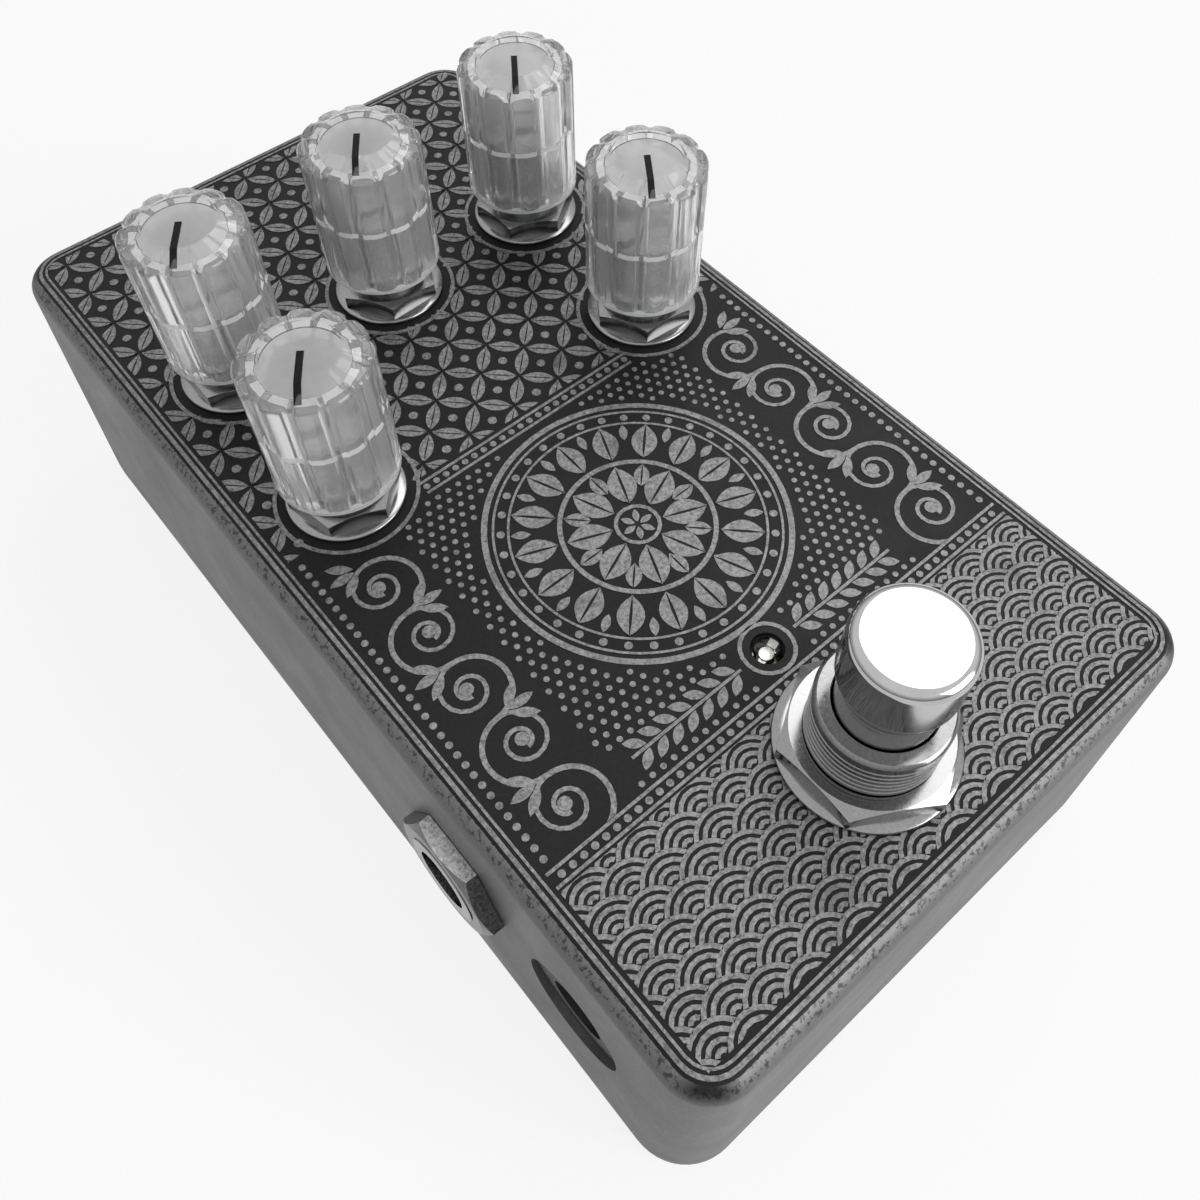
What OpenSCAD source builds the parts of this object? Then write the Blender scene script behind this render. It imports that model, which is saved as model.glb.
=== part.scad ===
// Five-knob guitar effects pedal in a die-cast aluminium case, in millimetres.
// The origin is under the middle of the case, +Z is up and the footswitch end faces -Y.

/* [Case] */
// Length of the case at its foot, front to back
case_l = 121; // [116:0.5:140]
// Width of the case at its foot
case_w = 66; // [64:0.5:80]
// Height of the closed case, cover included
case_h = 35.5; // [35:0.5:50]
// Thickness of the side walls
wall_t = 2.2; // [1.8:0.1:2.6]
// Thickness of the top panel
panel_t = 2.4; // [1.8:0.1:3]
// How far each wall leans in on its way up
draft = 1.3; // [0.6:0.1:2]
// Plan radius of the corners at the foot
corner_r = 6.3; // [6:0.1:8]
// Radius of the rounded top edge
edge_r = 2.2; // [1.5:0.1:3.4]
// Radius of the screw posts in the corners
post_r = 3.4; // [3:0.1:3.6]
// Distance of each post's axis from the two walls' feet
post_inset = 5.5; // [5.2:0.1:6]

/* [Cover] */
// Thickness of the bottom cover
cover_t = 2.6; // [2:0.1:3.5]
// Radius of the cover's lower edge
cover_edge_r = 1.2; // [0.5:0.1:1.6]
// Thickness of the locating lip on the cover
lip_t = 1.4; // [1:0.1:2]
// Height of the locating lip
lip_h = 1.8; // [1:0.1:3]
// Play between the lip and the case
lip_gap = 0.3; // [0.2:0.05:0.6]
// Thread radius of the cover screws
screw_r = 1.45; // [1.2:0.05:1.6]
// Head radius of the cover screws
screw_head_r = 2.8; // [2.5:0.1:3.1]
// Length of the cover screws
screw_l = 12; // [8:0.5:16]
// Depth of each screw head under the cover's face
screw_sink = 0.2; // [0.1:0.05:0.4]

/* [Layout] */
// Distance of the outer knobs' axes from the case's sides
knob_from_side = 13.2; // [12.5:0.1:14.5]
// Distance of the back row of knobs from the case's back end
back_row_from_back = 33; // [29:0.5:35]
// Distance between the two rows of knobs
row_pitch = 21.2; // [19:0.1:23]
// Distance of the lamp from the case's front end
led_from_front = 26.8; // [26:0.1:27.3]
// Distance of the footswitch from the case's front end
fs_from_front = 14.6; // [13.5:0.1:15.5]
// Distance of the jacks from the case's front end
jack_from_front = 33.9; // [33.5:0.1:36]
// Distance of the power socket from the case's front end
dc_from_front = 16.6; // [15.5:0.1:18]
// Depth of the jacks' axes below the panel
jack_drop = 15.5; // [13:0.5:16]
// Depth of the power socket's axis below the panel
dc_drop = 16; // [15:0.5:16.5]

/* [Knobs] */
// Outer radius of a knob
knob_r = 6.25; // [5.5:0.05:8]
// Height of a knob
knob_h = 16.1; // [13:0.1:20]
// Height of a knob's underside above the panel
knob_lift = 4.8; // [4.2:0.1:7]
// Radius of the flat disc on a knob
knob_disc_r = 3.6; // [3:0.1:4.5]
// Drop of the sloping ring from the disc to the rim
knob_slope = 0.8; // [0.4:0.1:1.5]
// Radius of a knob's rounded rim
knob_rim_r = 0.7; // [0.3:0.1:1]
// Number of flutes round a knob
knob_flutes = 12; // [8:1:16]
// Radius of the cutter that makes a flute
flute_r = 0.7; // [0.6:0.1:2.5]
// Depth of a flute
flute_depth = 0.45; // [0.2:0.05:0.7]
// Inner radius of a knob's skirt
skirt_r = 5.1; // [4.6:0.05:5.3]
// Depth of the hollow under a knob
skirt_depth = 7.6; // [4:0.1:9]
// Radius of the boss that grips the shaft
boss_r = 4.1; // [3.8:0.05:4.4]
// Depth of the shaft's bore in a knob
bore_depth = 7; // [5:0.1:10]
// Width of the pointer groove
pointer_w = 0.65; // [0.4:0.05:1.2]
// Length of the pointer groove
pointer_l = 5.4; // [3:0.1:5.6]
// Depth of the pointer groove
pointer_d = 0.25; // [0.1:0.05:0.5]
// Turn of the pointers from straight back, at the fully anticlockwise stop
pointer_turn = 144; // [90:1:180]

/* [Potentiometers] */
// Radius of a potentiometer's can
pot_r = 8.2; // [7.5:0.1:8.6]
// Height of the can
pot_h = 8.5; // [7:0.1:10]
// Wall of the can
pot_wall = 1.1; // [0.8:0.1:1.5]
// Radius of the threaded bushing
pot_bush_r = 3.5; // [3.4:0.05:3.7]
// Height of the bushing above its nut
pot_bush_over = 0.9; // [0.5:0.1:1.5]
// Radius of the shaft
shaft_r = 3; // [2.5:0.05:3.1]
// Radius of the wiper carrier on the shaft
wiper_r = 6.4; // [5:0.1:6.6]
// Thickness of the wiper carrier
wiper_t = 1.8; // [1:0.1:3]
// Across flats of a nut
pot_nut_af = 10; // [9:0.5:11]
// Height of a nut
pot_nut_h = 2; // [1.5:0.1:2.4]
// Outer radius of a washer
pot_washer_r = 6.1; // [5.5:0.1:7]
// Thickness of a washer
pot_washer_t = 0.6; // [0.4:0.1:0.8]
// Spacing of the three terminals
pot_pin_pitch = 5; // [4:0.1:5.2]
// Width of a terminal
pot_pin_w = 1; // [0.8:0.1:1.2]
// Thickness of a terminal
pot_pin_t = 0.5; // [0.3:0.05:0.6]

/* [Footswitch] */
// Width of the switch housing
fs_w = 17.2; // [16:0.1:18]
// Depth of the switch housing
fs_d = 17.4; // [16:0.1:18]
// Height of the switch housing
fs_h = 12.5; // [11:0.1:13.5]
// Thickness of the metal plate on the housing
fs_plate_t = 1.1; // [0.8:0.1:1.5]
// Radius of the threaded bushing
fs_bush_r = 6; // [5.6:0.05:6.2]
// Height of the bushing above the panel
fs_bush_up = 8.7; // [6:0.1:9]
// Height of the plunger above the bushing
plunger_up = 10.8; // [8:0.1:13]
// Radius of the plunger where it enters the bushing
plunger_r = 4.4; // [4.2:0.05:4.9]
// Radius of the plunger's head
plunger_head_r = 5.1; // [4.9:0.05:5.3]
// Radius of the plunger's rounded top edge
plunger_edge_r = 1; // [0.5:0.1:2]
// Height over the bushing where the head's straight side begins
plunger_shoulder = 5.2; // [4:0.1:6]
// Travel of the plunger
plunger_travel = 2.5; // [1.5:0.1:3]
// Radius of the collar that keeps the plunger in
collar_r = 5.8; // [5.5:0.1:6]
// Thickness of the collar
collar_t = 1.6; // [1:0.1:2]
// Across flats of the footswitch nuts
fs_nut_af = 14.6; // [13.5:0.1:15]
// Height of the nut on the panel
fs_nut_h = 2.2; // [1.8:0.1:3]
// Height of the nut behind the panel
fs_back_nut_h = 1.8; // [1.5:0.1:2.2]
// Outer radius of the washer on the panel
fs_washer_r = 8.4; // [8:0.1:9]
// Thickness of the washer on the panel
fs_washer_t = 0.6; // [0.4:0.1:0.8]
// Thickness of the lock washer behind the panel
fs_lock_t = 0.5; // [0.3:0.1:0.6]
// Spacing of the solder lugs
lug_pitch = 5; // [4.5:0.1:5.2]
// Width of a solder lug
lug_w = 2.2; // [1.8:0.1:2.4]
// Thickness of a solder lug
lug_t = 0.7; // [0.5:0.1:0.8]
// Mean radius of the return spring
spring_r = 3.7; // [3:0.1:4.4]
// Radius of the spring wire
spring_wire_r = 0.4; // [0.3:0.05:0.5]
// Turns of the return spring
spring_turns = 5; // [4:1:6]

/* [Jacks] */
// Radius of the plug bore
plug_r = 3.25; // [3.2:0.01:3.4]
// Radius of the threaded bushing
jack_bush_r = 4.75; // [4.5:0.05:5]
// Across flats of a jack nut
jack_nut_af = 12.7; // [12:0.1:14]
// Height of a jack nut
jack_nut_h = 1.8; // [1.5:0.1:3.2]
// Thickness of the washer inside the wall
jack_washer_t = 0.6; // [0.4:0.1:0.8]
// Outer radius of the washer inside the wall
jack_washer_r = 6.4; // [6:0.1:6.6]
// Thickness of the frame's sheet metal
frame_t = 1; // [0.8:0.1:1.2]
// Reach of the frame arm below the plug's axis
frame_drop = 9.5; // [9:0.1:10]
// Length of the frame arm from the wall's outer face
frame_l = 22; // [20:0.5:23]
// Width of the frame arm
frame_arm_w = 8; // [6:0.5:9]
// Thickness of each insulating wafer
wafer_t = 1.25; // [1:0.05:1.3]
// Length of the insulating wafers
wafer_l = 7; // [5:0.5:8]
// Thickness of the tip spring
leaf_t = 0.4; // [0.3:0.05:0.5]
// Width of the tip spring
leaf_w = 5; // [4:0.5:6]

/* [Power socket] */
// Radius of the hole in the left wall
dc_hole_r = 6; // [5.9:0.05:6.2]
// Radius of the socket's barrel
dc_barrel_r = 5.8; // [5.4:0.05:5.85]
// Depth of the barrel's face behind the wall's face
dc_recess = 0.6; // [0.3:0.1:1]
// Depth of the socket from the wall's face
dc_depth = 13.5; // [12.5:0.1:15]
// Radius of the plug's bore in the socket
dc_bore_r = 3.2; // [2.9:0.05:3.4]
// Radius of the centre pin
dc_pin_r = 1.05; // [0.9:0.05:1.25]
// Depth of the pin's tip behind the barrel's face
dc_pin_recess = 1; // [0.5:0.1:2]

/* [Lamp] */
// Radius of the lamp's lens
led_r = 1.5; // [1.4:0.05:1.6]
// Height of the dome above the panel
led_up = 0.5; // [0.2:0.1:1]
// Length of the lens
led_l = 5.2; // [4.8:0.1:6]
// Radius of the rim at the lens's foot
led_rim_r = 1.9; // [1.75:0.05:2.1]
// Half the spacing of the leads
led_lead_x = 0.7; // [0.6:0.05:0.9]
// Thickness of a lead
led_lead_t = 0.5; // [0.4:0.05:0.5]
// Radius of the cup that holds the chip
led_cup_r = 0.45; // [0.3:0.05:0.5]
// Turn of the leads about the lamp's axis
led_turn = 17; // [0:1:90]

/* [Boards] */
// Thickness of the circuit boards
board_t = 1.6; // [1:0.1:2]
// Distance of the main board's edges from the case's sides
main_board_inset = 6; // [5:0.1:6.5]
// Gap from the main board up to the potentiometers
main_board_gap = 1.6; // [0.8:0.1:3]
// Margin of a board round the outermost terminals
board_margin = 2.5; // [2:0.1:3]
// How far pins come through a board
pin_through = 0.8; // [0.5:0.1:1.2]
// Radius of the hook-up wire
wire_r = 0.55; // [0.4:0.05:0.6]
// Length on which a wire bends
wire_bend = 2; // [1.8:0.1:2.2]
// Distance of the tip wires' joints from the case wall
wire_from_wall = 6; // [5.5:0.1:6.5]
// Distance of the tip wires' pads from the switch and the board's edge
pad_in = 1.8; // [1.6:0.1:2]
// Distance of the sleeve wires' and link wires' pads from their boards' edges
low_pad_in = 1.6; // [1.5:0.1:1.8]
// Distance of the sleeve wires' joints from the frame arm's edges
arm_pad_in = 1.5; // [1.4:0.1:1.6]
// Gap left for solder at a wire's joint with a jack
solder_gap = 0.1; // [0.05:0.05:0.2]
// Spacing of the link wires
link_pitch = 1.5; // [1.3:0.1:1.6]
// Distance of the link wires' ends from the switch board's edge
link_in = 0.9; // [0.8:0.1:1]
// Height of the link wires' lowest stretch above the cover
link_from_cover = 3; // [2.5:0.1:3.5]

/* [Circuit parts] */
// Length of a chip's body
chip_l = 9.8; // [9:0.1:10]
// Width of a chip's body
chip_w = 6.4; // [6:0.1:6.6]
// Height of a chip's body
chip_h = 3.3; // [2.5:0.1:4]
// Height of a chip above the board
chip_lift = 0.6; // [0.4:0.1:1]
// Spacing of a chip's legs
leg_pitch = 2.54; // [2:0.01:2.6]
// Distance between a chip's two rows of legs
leg_row = 7.62; // [7.2:0.01:8]
// Thickness of a chip's legs
leg_t = 0.3; // [0.2:0.05:0.4]
// Width of a chip's legs
leg_w = 0.5; // [0.4:0.05:0.8]
// Radius of an electrolytic capacitor
can_r = 2.5; // [2:0.1:3]
// Height of an electrolytic capacitor
can_h = 9; // [6:0.1:10]
// Depth of the groove round an electrolytic capacitor
can_groove = 0.3; // [0.2:0.05:0.5]
// Length of a film capacitor
film_l = 7.2; // [6:0.1:7.6]
// Thickness of a film capacitor
film_t = 2.6; // [2:0.1:3]
// Height of a film capacitor
film_h = 6; // [5:0.1:8]
// Radius of a resistor
res_r = 1.1; // [0.8:0.05:1.3]
// Length of a resistor's body
res_l = 6.2; // [5:0.1:7]
// Half the span of a resistor's leads
res_reach = 4.8; // [4.4:0.1:5.2]
// Radius of a resistor's leads
res_lead_r = 0.28; // [0.2:0.02:0.35]
// Spacing of the resistors along a row
res_pitch = 12; // [11:0.1:12.5]
// Spacing of the rows of parts under the main board
part_row = 8; // [7.5:0.1:8.4]
// Spacing of the two rows of resistors
res_row = 3.5; // [3:0.1:4]
// Distance of the outer parts from the outer knobs' axes
part_out = 2.2; // [1.5:0.1:2.4]
// Distance of the inner parts from the outer knobs' axes
part_in = 8.8; // [8.5:0.1:10]

/* [Fits] */
// Radial play of parts that turn or slide in each other
run_gap = 0.05; // [0.02:0.01:0.08]
// Play of a thread or of a pressed-on part
fit_gap = 0.02; // [0.01:0.01:0.05]
// Radial play of a bushing in its panel hole
hole_gap = 0.15; // [0.1:0.05:0.25]

/* [Hidden] */
$fn = 64;
// Sides of round shapes inside a hull
hull_fn = 32;
// Thickness of a sheet that only spans a hull, and overlap that fuses a shape
thin = 0.02;
// Overlap of a cutter past the face that it opens
past = 1;

// Places of the controls, the lamp and the sockets
knob_dx = case_w / 2 - knob_from_side;
back_row_y = case_l / 2 - back_row_from_back;
front_row_y = back_row_y - row_pitch;
led_y = -case_l / 2 + led_from_front;
fs_y = -case_l / 2 + fs_from_front;
jack_y = -case_l / 2 + jack_from_front;
dc_y = -case_l / 2 + dc_from_front;
jack_z = case_h - jack_drop;
dc_z = case_h - dc_drop;

// Places of the five potentiometers, and the rest turn of each nut
PLACES = ["back_left", "back_middle", "back_right", "front_right", "front_left"];
pot_xy = [
    [-knob_dx, back_row_y],
    [0, back_row_y],
    [knob_dx, back_row_y],
    [knob_dx, front_row_y],
    [-knob_dx, front_row_y]
];
pot_nut_turn = [32, 2, 34, 55, 43];

// Heights of the case
panel_in_z = case_h - panel_t;
rise = case_h - edge_r - cover_t;
lean_reach = sqrt(pow(draft + edge_r, 2) + pow(rise, 2));
wall_tilt = atan((draft + edge_r) / rise) - asin(edge_r / lean_reach);
function lean(z) = (z - cover_t) * tan(wall_tilt);
function wall_x(z) = case_w / 2 - lean(z);
top_r = corner_r - draft;
inner_r = corner_r - wall_t;
inner_lean = lean(panel_in_z);
inner_top_r = inner_r - inner_lean;
post_x = case_w / 2 - post_inset;
post_y = case_l / 2 - post_inset;

// Heights of the controls
pot_z = panel_in_z - pot_h;
pot_nut_z = case_h + pot_washer_t;
pot_bush_z = pot_nut_z + pot_nut_h + pot_bush_over;
knob_z = case_h + knob_lift;
shaft_top_z = knob_z + bore_depth - 0.3;
wiper_z = panel_in_z - pot_wall - 0.4 - wiper_t;
pin_y = pot_r + 1.4;
wafer_z = pot_z + 0.4;

// Heights of the footswitch and of the boards
fs_bush_z = case_h + fs_bush_up;
fs_plate_z = panel_in_z - fs_lock_t - fs_back_nut_h - 0.2;
fs_body_z = fs_plate_z - fs_plate_t;
fs_floor_z = fs_body_z - fs_h;
fs_cavity_r = collar_r + 0.4;
fs_cavity_z = fs_floor_z + 2.5;
collar_z = fs_body_z - 0.3 - collar_t;
plunger_z = fs_bush_z + plunger_up;
main_board_z = pot_z - main_board_gap - board_t;
dc_half = dc_barrel_r + 0.1;
switch_board_z = dc_z - dc_half - board_t;
board_front_y = fs_y - fs_d / 2 - 0.6;
board_back_y = led_y + 2.3;
main_board_x = case_w / 2 - main_board_inset;
main_board_y0 = front_row_y - pin_y - board_margin;
main_board_y1 = back_row_y + pin_y + board_margin;

// A jack's depth from the wall's outer face
jack_in = wall_t + jack_washer_t + frame_t;
jack_out = jack_nut_h + 0.1;
leaf_x = -frame_drop + frame_t + wafer_t;

// Shapes that repeat

module corners(w, l, r) {
    for (sx = [-1, 1], sy = [-1, 1])
        translate([sx * (w / 2 - r), sy * (l / 2 - r), 0])
            children();
}

module disc(r) {
    cylinder(r = r, h = thin, $fn = hull_fn);
}

module slab(w, l, r, h) {
    hull()
        corners(w, l, r)
            cylinder(r = r, h = h, $fn = hull_fn);
}

module round_rim(r, edge) {
    rotate_extrude($fn = hull_fn)
        intersection() {
            translate([r - edge, 0])
                circle(edge, $fn = hull_fn);
            translate([0, -edge])
                square([r, 2 * edge]);
        }
}

module ring(outer, inner, h) {
    difference() {
        cylinder(r = outer, h = h);
        translate([0, 0, -past])
            cylinder(r = inner, h = h + 2 * past);
    }
}

// Hexagon nut with its upper corners turned off
module hex_nut(af, h, bore) {
    corner = af / 2 / cos(30);
    turned = corner - af / 2;
    difference() {
        intersection() {
            cylinder(r = corner, h = h, $fn = 6);
            rotate_extrude()
                polygon([[0, 0], [corner, 0], [corner, h - turned * 0.6], [af / 2 - 0.1, h], [0, h]]);
        }
        translate([0, 0, -past])
            cylinder(r = bore, h = h + 2 * past);
    }
}

module block(x0, x1, y0, y1, z0, z1) {
    translate([x0, y0, z0])
        cube([x1 - x0, y1 - y0, z1 - z0]);
}

// Round tube swept along points, with each ring square to the mean direction there
function unit(v) = v / norm(v);
function heading(path, i) =
    unit(path[min(i + 1, len(path) - 1)] - path[max(i - 1, 0)]);
function side_of(dir, ref) = unit(cross(dir, ref));

module tube(path, r, sides, ref) {
    n = len(path);
    rings = [
        for (i = [0:n - 1])
            let (d = heading(path, i), u = side_of(d, ref), v = cross(d, u))
            for (k = [0:sides - 1])
                path[i] + r * (cos(k * 360 / sides) * u + sin(k * 360 / sides) * v)
    ];
    skin = [
        for (i = [0:n - 2], k = [0:sides - 1])
            let (a = i * sides + k, b = i * sides + (k + 1) % sides)
            each [[a, b, b + sides], [a, b + sides, a + sides]]
    ];
    first = [for (k = [1:sides - 2]) [0, k + 1, k]];
    last = [for (k = [1:sides - 2]) [(n - 1) * sides, (n - 1) * sides + k, (n - 1) * sides + k + 1]];
    polyhedron(points = rings, faces = concat(skin, first, last));
}

// Smooth path through a few points: a quadratic bend at each inner point
function bend(a, b, c, t) = (1 - t) * (1 - t) * a + 2 * t * (1 - t) * b + t * t * c;
function smooth_path(pts, steps) = concat(
    [pts[0]],
    [
        for (i = [1:len(pts) - 2])
            let (a = (pts[i - 1] + pts[i]) / 2, c = (pts[i] + pts[i + 1]) / 2)
            for (s = [0:steps])
                bend(a, pts[i], c, s / steps)
    ],
    [pts[len(pts) - 1]]
);

// Places

module at_pot(i) {
    translate([pot_xy[i][0], pot_xy[i][1], 0])
        children();
}

module at_pots() {
    for (i = [0:len(pot_xy) - 1])
        at_pot(i)
            children();
}

module at_footswitch() {
    translate([0, fs_y, 0])
        children();
}

// Local +Z points out of the left wall, square to it, and local +X points up
module at_left_jack() {
    translate([-wall_x(jack_z), jack_y, jack_z])
        rotate([0, -(90 - wall_tilt), 0])
            children();
}

module at_right_jack() {
    mirror([1, 0, 0])
        at_left_jack()
            children();
}

// Local +Z points out of the left wall, level
module at_power_socket() {
    translate([-wall_x(dc_z), dc_y, dc_z])
        rotate([0, -90, 0])
            children();
}

function jack_point(x, y, z) = [
    -wall_x(jack_z) + x * sin(wall_tilt) - z * cos(wall_tilt),
    jack_y + y,
    jack_z + x * cos(wall_tilt) + z * sin(wall_tilt)
];

// Case, cover and screws

module case_outside() {
    hull() {
        translate([0, 0, cover_t])
            corners(case_w, case_l, corner_r)
                disc(corner_r);
        translate([0, 0, case_h - edge_r])
            corners(case_w - 2 * draft, case_l - 2 * draft, top_r)
                round_rim(top_r, edge_r);
    }
}

module case_inside() {
    inner_w = case_w - 2 * wall_t;
    inner_l = case_l - 2 * wall_t;
    hull() {
        translate([0, 0, cover_t - thin])
            corners(inner_w, inner_l, inner_r)
                disc(inner_r);
        translate([0, 0, panel_in_z - thin])
            corners(inner_w - 2 * inner_lean, inner_l - 2 * inner_lean, inner_top_r)
                disc(inner_top_r);
    }
}

module at_posts() {
    for (sx = [-1, 1], sy = [-1, 1])
        translate([sx * post_x, sy * post_y, 0])
            children();
}

module panel_hole(r) {
    translate([0, 0, panel_in_z - past])
        cylinder(r = r, h = panel_t + 2 * past);
}

module jack_hole() {
    translate([0, 0, -wall_t - past])
        cylinder(r = jack_bush_r + hole_gap, h = wall_t + 2 * past);
}

module enclosure() {
    color("dimgray")
        difference() {
            union() {
                difference() {
                    case_outside();
                    case_inside();
                }
                at_posts()
                    translate([0, 0, cover_t])
                        cylinder(r = post_r, h = panel_in_z + thin - cover_t);
            }
            at_posts()
                translate([0, 0, cover_t - past])
                    cylinder(r = screw_r + fit_gap, h = screw_sink + screw_l - cover_t + 2 * past);
            at_pots()
                panel_hole(pot_bush_r + hole_gap);
            at_footswitch()
                panel_hole(fs_bush_r + hole_gap);
            translate([0, led_y, 0])
                panel_hole(led_r + hole_gap);
            at_left_jack()
                jack_hole();
            at_right_jack()
                jack_hole();
            at_power_socket()
                translate([0, 0, -wall_t - past])
                    cylinder(r = dc_hole_r, h = wall_t + 2 * past);
        }
}

module screw_head(r, h) {
    cylinder(r1 = r, r2 = r - h, h = h);
}

module bottom_cover() {
    lip_w = case_w - 2 * wall_t - 2 * lip_gap;
    lip_l = case_l - 2 * wall_t - 2 * lip_gap;
    lip_r = inner_r - lip_gap;
    head_h = screw_head_r - screw_r;
    color("dimgray")
        difference() {
            union() {
                hull() {
                    translate([0, 0, cover_edge_r])
                        corners(case_w, case_l, corner_r)
                            round_rim(corner_r, cover_edge_r);
                    translate([0, 0, cover_t - thin])
                        corners(case_w, case_l, corner_r)
                            disc(corner_r);
                }
                difference() {
                    translate([0, 0, cover_t - past])
                        slab(lip_w, lip_l, lip_r, lip_h + past);
                    translate([0, 0, cover_t - past])
                        slab(lip_w - 2 * lip_t, lip_l - 2 * lip_t, lip_r - lip_t, lip_h + 2 * past);
                    at_posts()
                        translate([0, 0, cover_t])
                            cylinder(r = post_r + lip_gap, h = lip_h + past);
                }
            }
            at_posts() {
                translate([0, 0, -past])
                    cylinder(r = screw_r + hole_gap, h = cover_t + 2 * past);
                translate([0, 0, screw_sink])
                    screw_head(screw_head_r + fit_gap, head_h + fit_gap);
                translate([0, 0, -past])
                    cylinder(r = screw_head_r + fit_gap, h = screw_sink + past);
            }
        }
}

module cover_screws() {
    slot_w = 0.8;
    slot_d = 0.9;
    slot_reach = screw_r * 0.85;
    head_h = screw_head_r - screw_r;
    color("silver")
        at_posts()
            translate([0, 0, screw_sink])
                difference() {
                    union() {
                        screw_head(screw_head_r, head_h);
                        cylinder(r = screw_r, h = screw_l);
                    }
                    for (turn = [0, 90])
                        rotate([0, 0, turn])
                            block(-slot_reach, slot_reach, -slot_w / 2, slot_w / 2, -past, slot_d);
                }
}

// Knobs and potentiometers

knob_rim_x = knob_r - knob_rim_r;

// Half outline of a knob before fluting, from its underside to its disc
function knob_outline() = concat(
    [[0, 0], [knob_r - 0.3, 0], [knob_r, 0.3]],
    [
        for (a = [0:15:75])
            [knob_rim_x + knob_rim_r * cos(a), knob_h - knob_slope - knob_rim_r + knob_rim_r * sin(a)]
    ],
    [[knob_disc_r, knob_h], [0, knob_h]]
);

module pointer_groove() {
    fall = knob_slope * (pointer_l - knob_disc_r) / (knob_rim_x - knob_disc_r);
    translate([-pointer_w / 2, 0, knob_h - pointer_d])
        rotate([90, 0, 90])
            linear_extrude(pointer_w)
                polygon([
                    [0, 0], [knob_disc_r, 0], [pointer_l, -fall],
                    [pointer_l, past], [0, past]
                ]);
}

module knob(i) {
    color("whitesmoke")
        at_pot(i)
            translate([0, 0, knob_z])
                difference() {
                    rotate_extrude()
                        polygon(knob_outline());
                    for (k = [0:knob_flutes - 1])
                        rotate([0, 0, (k + 0.5) * 360 / knob_flutes])
                            translate([knob_r + flute_r - flute_depth, 0, -past])
                                cylinder(r = flute_r, h = knob_h + 2 * past);
                    translate([0, 0, -past])
                        ring(skirt_r, boss_r, skirt_depth + past);
                    translate([0, 0, -past])
                        cylinder(r = shaft_r + fit_gap, h = bore_depth + past);
                    rotate([0, 0, pointer_turn])
                        pointer_groove();
                }
}

module pot_shaft(i) {
    split_w = 0.9;
    split_d = 6;
    color("silver")
        at_pot(i)
            difference() {
                union() {
                    translate([0, 0, wiper_z])
                        cylinder(r = shaft_r, h = shaft_top_z - wiper_z);
                    translate([0, 0, wiper_z])
                        cylinder(r = wiper_r, h = wiper_t);
                }
                block(-shaft_r - past, shaft_r + past, -split_w / 2, split_w / 2,
                    shaft_top_z - split_d, shaft_top_z + past);
            }
}

// The terminals come out to the back on the back row and to the front on the front row
function pin_side(i) = pot_xy[i][1] == back_row_y ? 1 : -1;

module pot(i) {
    wafer_w = 2 * pot_pin_pitch + 4;
    wafer_h = 1.6;
    color("lightsteelblue")
        at_pot(i)
            difference() {
                union() {
                    translate([0, 0, pot_z])
                        cylinder(r = pot_r, h = pot_h);
                    translate([0, 0, panel_in_z - thin])
                        cylinder(r = pot_bush_r, h = pot_bush_z - panel_in_z + thin);
                    rotate([0, 0, pin_side(i) > 0 ? 0 : 180])
                        block(-wafer_w / 2, wafer_w / 2, 0, pin_y, wafer_z, wafer_z + wafer_h);
                }
                translate([0, 0, pot_z + pot_wall])
                    cylinder(r = pot_r - pot_wall, h = pot_h - 2 * pot_wall);
                translate([0, 0, pot_z + 2 * pot_wall])
                    cylinder(r = shaft_r + run_gap, h = pot_bush_z - pot_z);
            }
}

module pot_nuts() {
    color("silver")
        for (i = [0:len(pot_xy) - 1])
            at_pot(i)
                translate([0, 0, pot_nut_z])
                    rotate([0, 0, pot_nut_turn[i]])
                        hex_nut(pot_nut_af, pot_nut_h, pot_bush_r + fit_gap);
}

module pot_washers() {
    color("gainsboro")
        at_pots()
            translate([0, 0, case_h])
                ring(pot_washer_r, pot_bush_r + hole_gap, pot_washer_t);
}

module at_pot_pins() {
    for (i = [0:len(pot_xy) - 1], k = [-1:1])
        at_pot(i)
            translate([k * pot_pin_pitch, pin_side(i) * (pin_y + pot_pin_t / 2), 0])
                children();
}

module pot_terminals() {
    color("silver")
        at_pot_pins()
            block(-pot_pin_w / 2, pot_pin_w / 2, -pot_pin_t / 2, pot_pin_t / 2,
                main_board_z - pin_through, wafer_z + 1.6);
}

// Main board and what is soldered under it

module main_board() {
    hole_r = sqrt(pow(pot_pin_w, 2) + pow(pot_pin_t, 2)) / 2 + hole_gap;
    color("darkgreen")
        difference() {
            block(-main_board_x, main_board_x, main_board_y0, main_board_y1,
                main_board_z, main_board_z + board_t);
            at_pot_pins()
                translate([0, 0, main_board_z - past])
                    cylinder(r = hole_r, h = board_t + 2 * past);
        }
}

// Places on the board's underside, in rows that count from the front row of knobs
first_part_row = 2.5;
outer_x = knob_dx + part_out;
inner_x = knob_dx - part_in;

module under_board(x, row) {
    translate([x, front_row_y + first_part_row + row, main_board_z])
        mirror([0, 0, 1])
            children();
}

module chip_leg(side) {
    bend_z = chip_lift + chip_h / 2;
    near = min(side * chip_w, side * leg_row) / 2;
    far = max(side * chip_w, side * leg_row) / 2;
    translate([side * leg_row / 2, 0, 0])
        block(-leg_t / 2, leg_t / 2, -leg_w / 2, leg_w / 2, 0, bend_z + leg_t / 2);
    block(near - leg_t / 2, far + leg_t / 2, -leg_w / 2, leg_w / 2, bend_z - leg_t / 2, bend_z + leg_t / 2);
}

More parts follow.
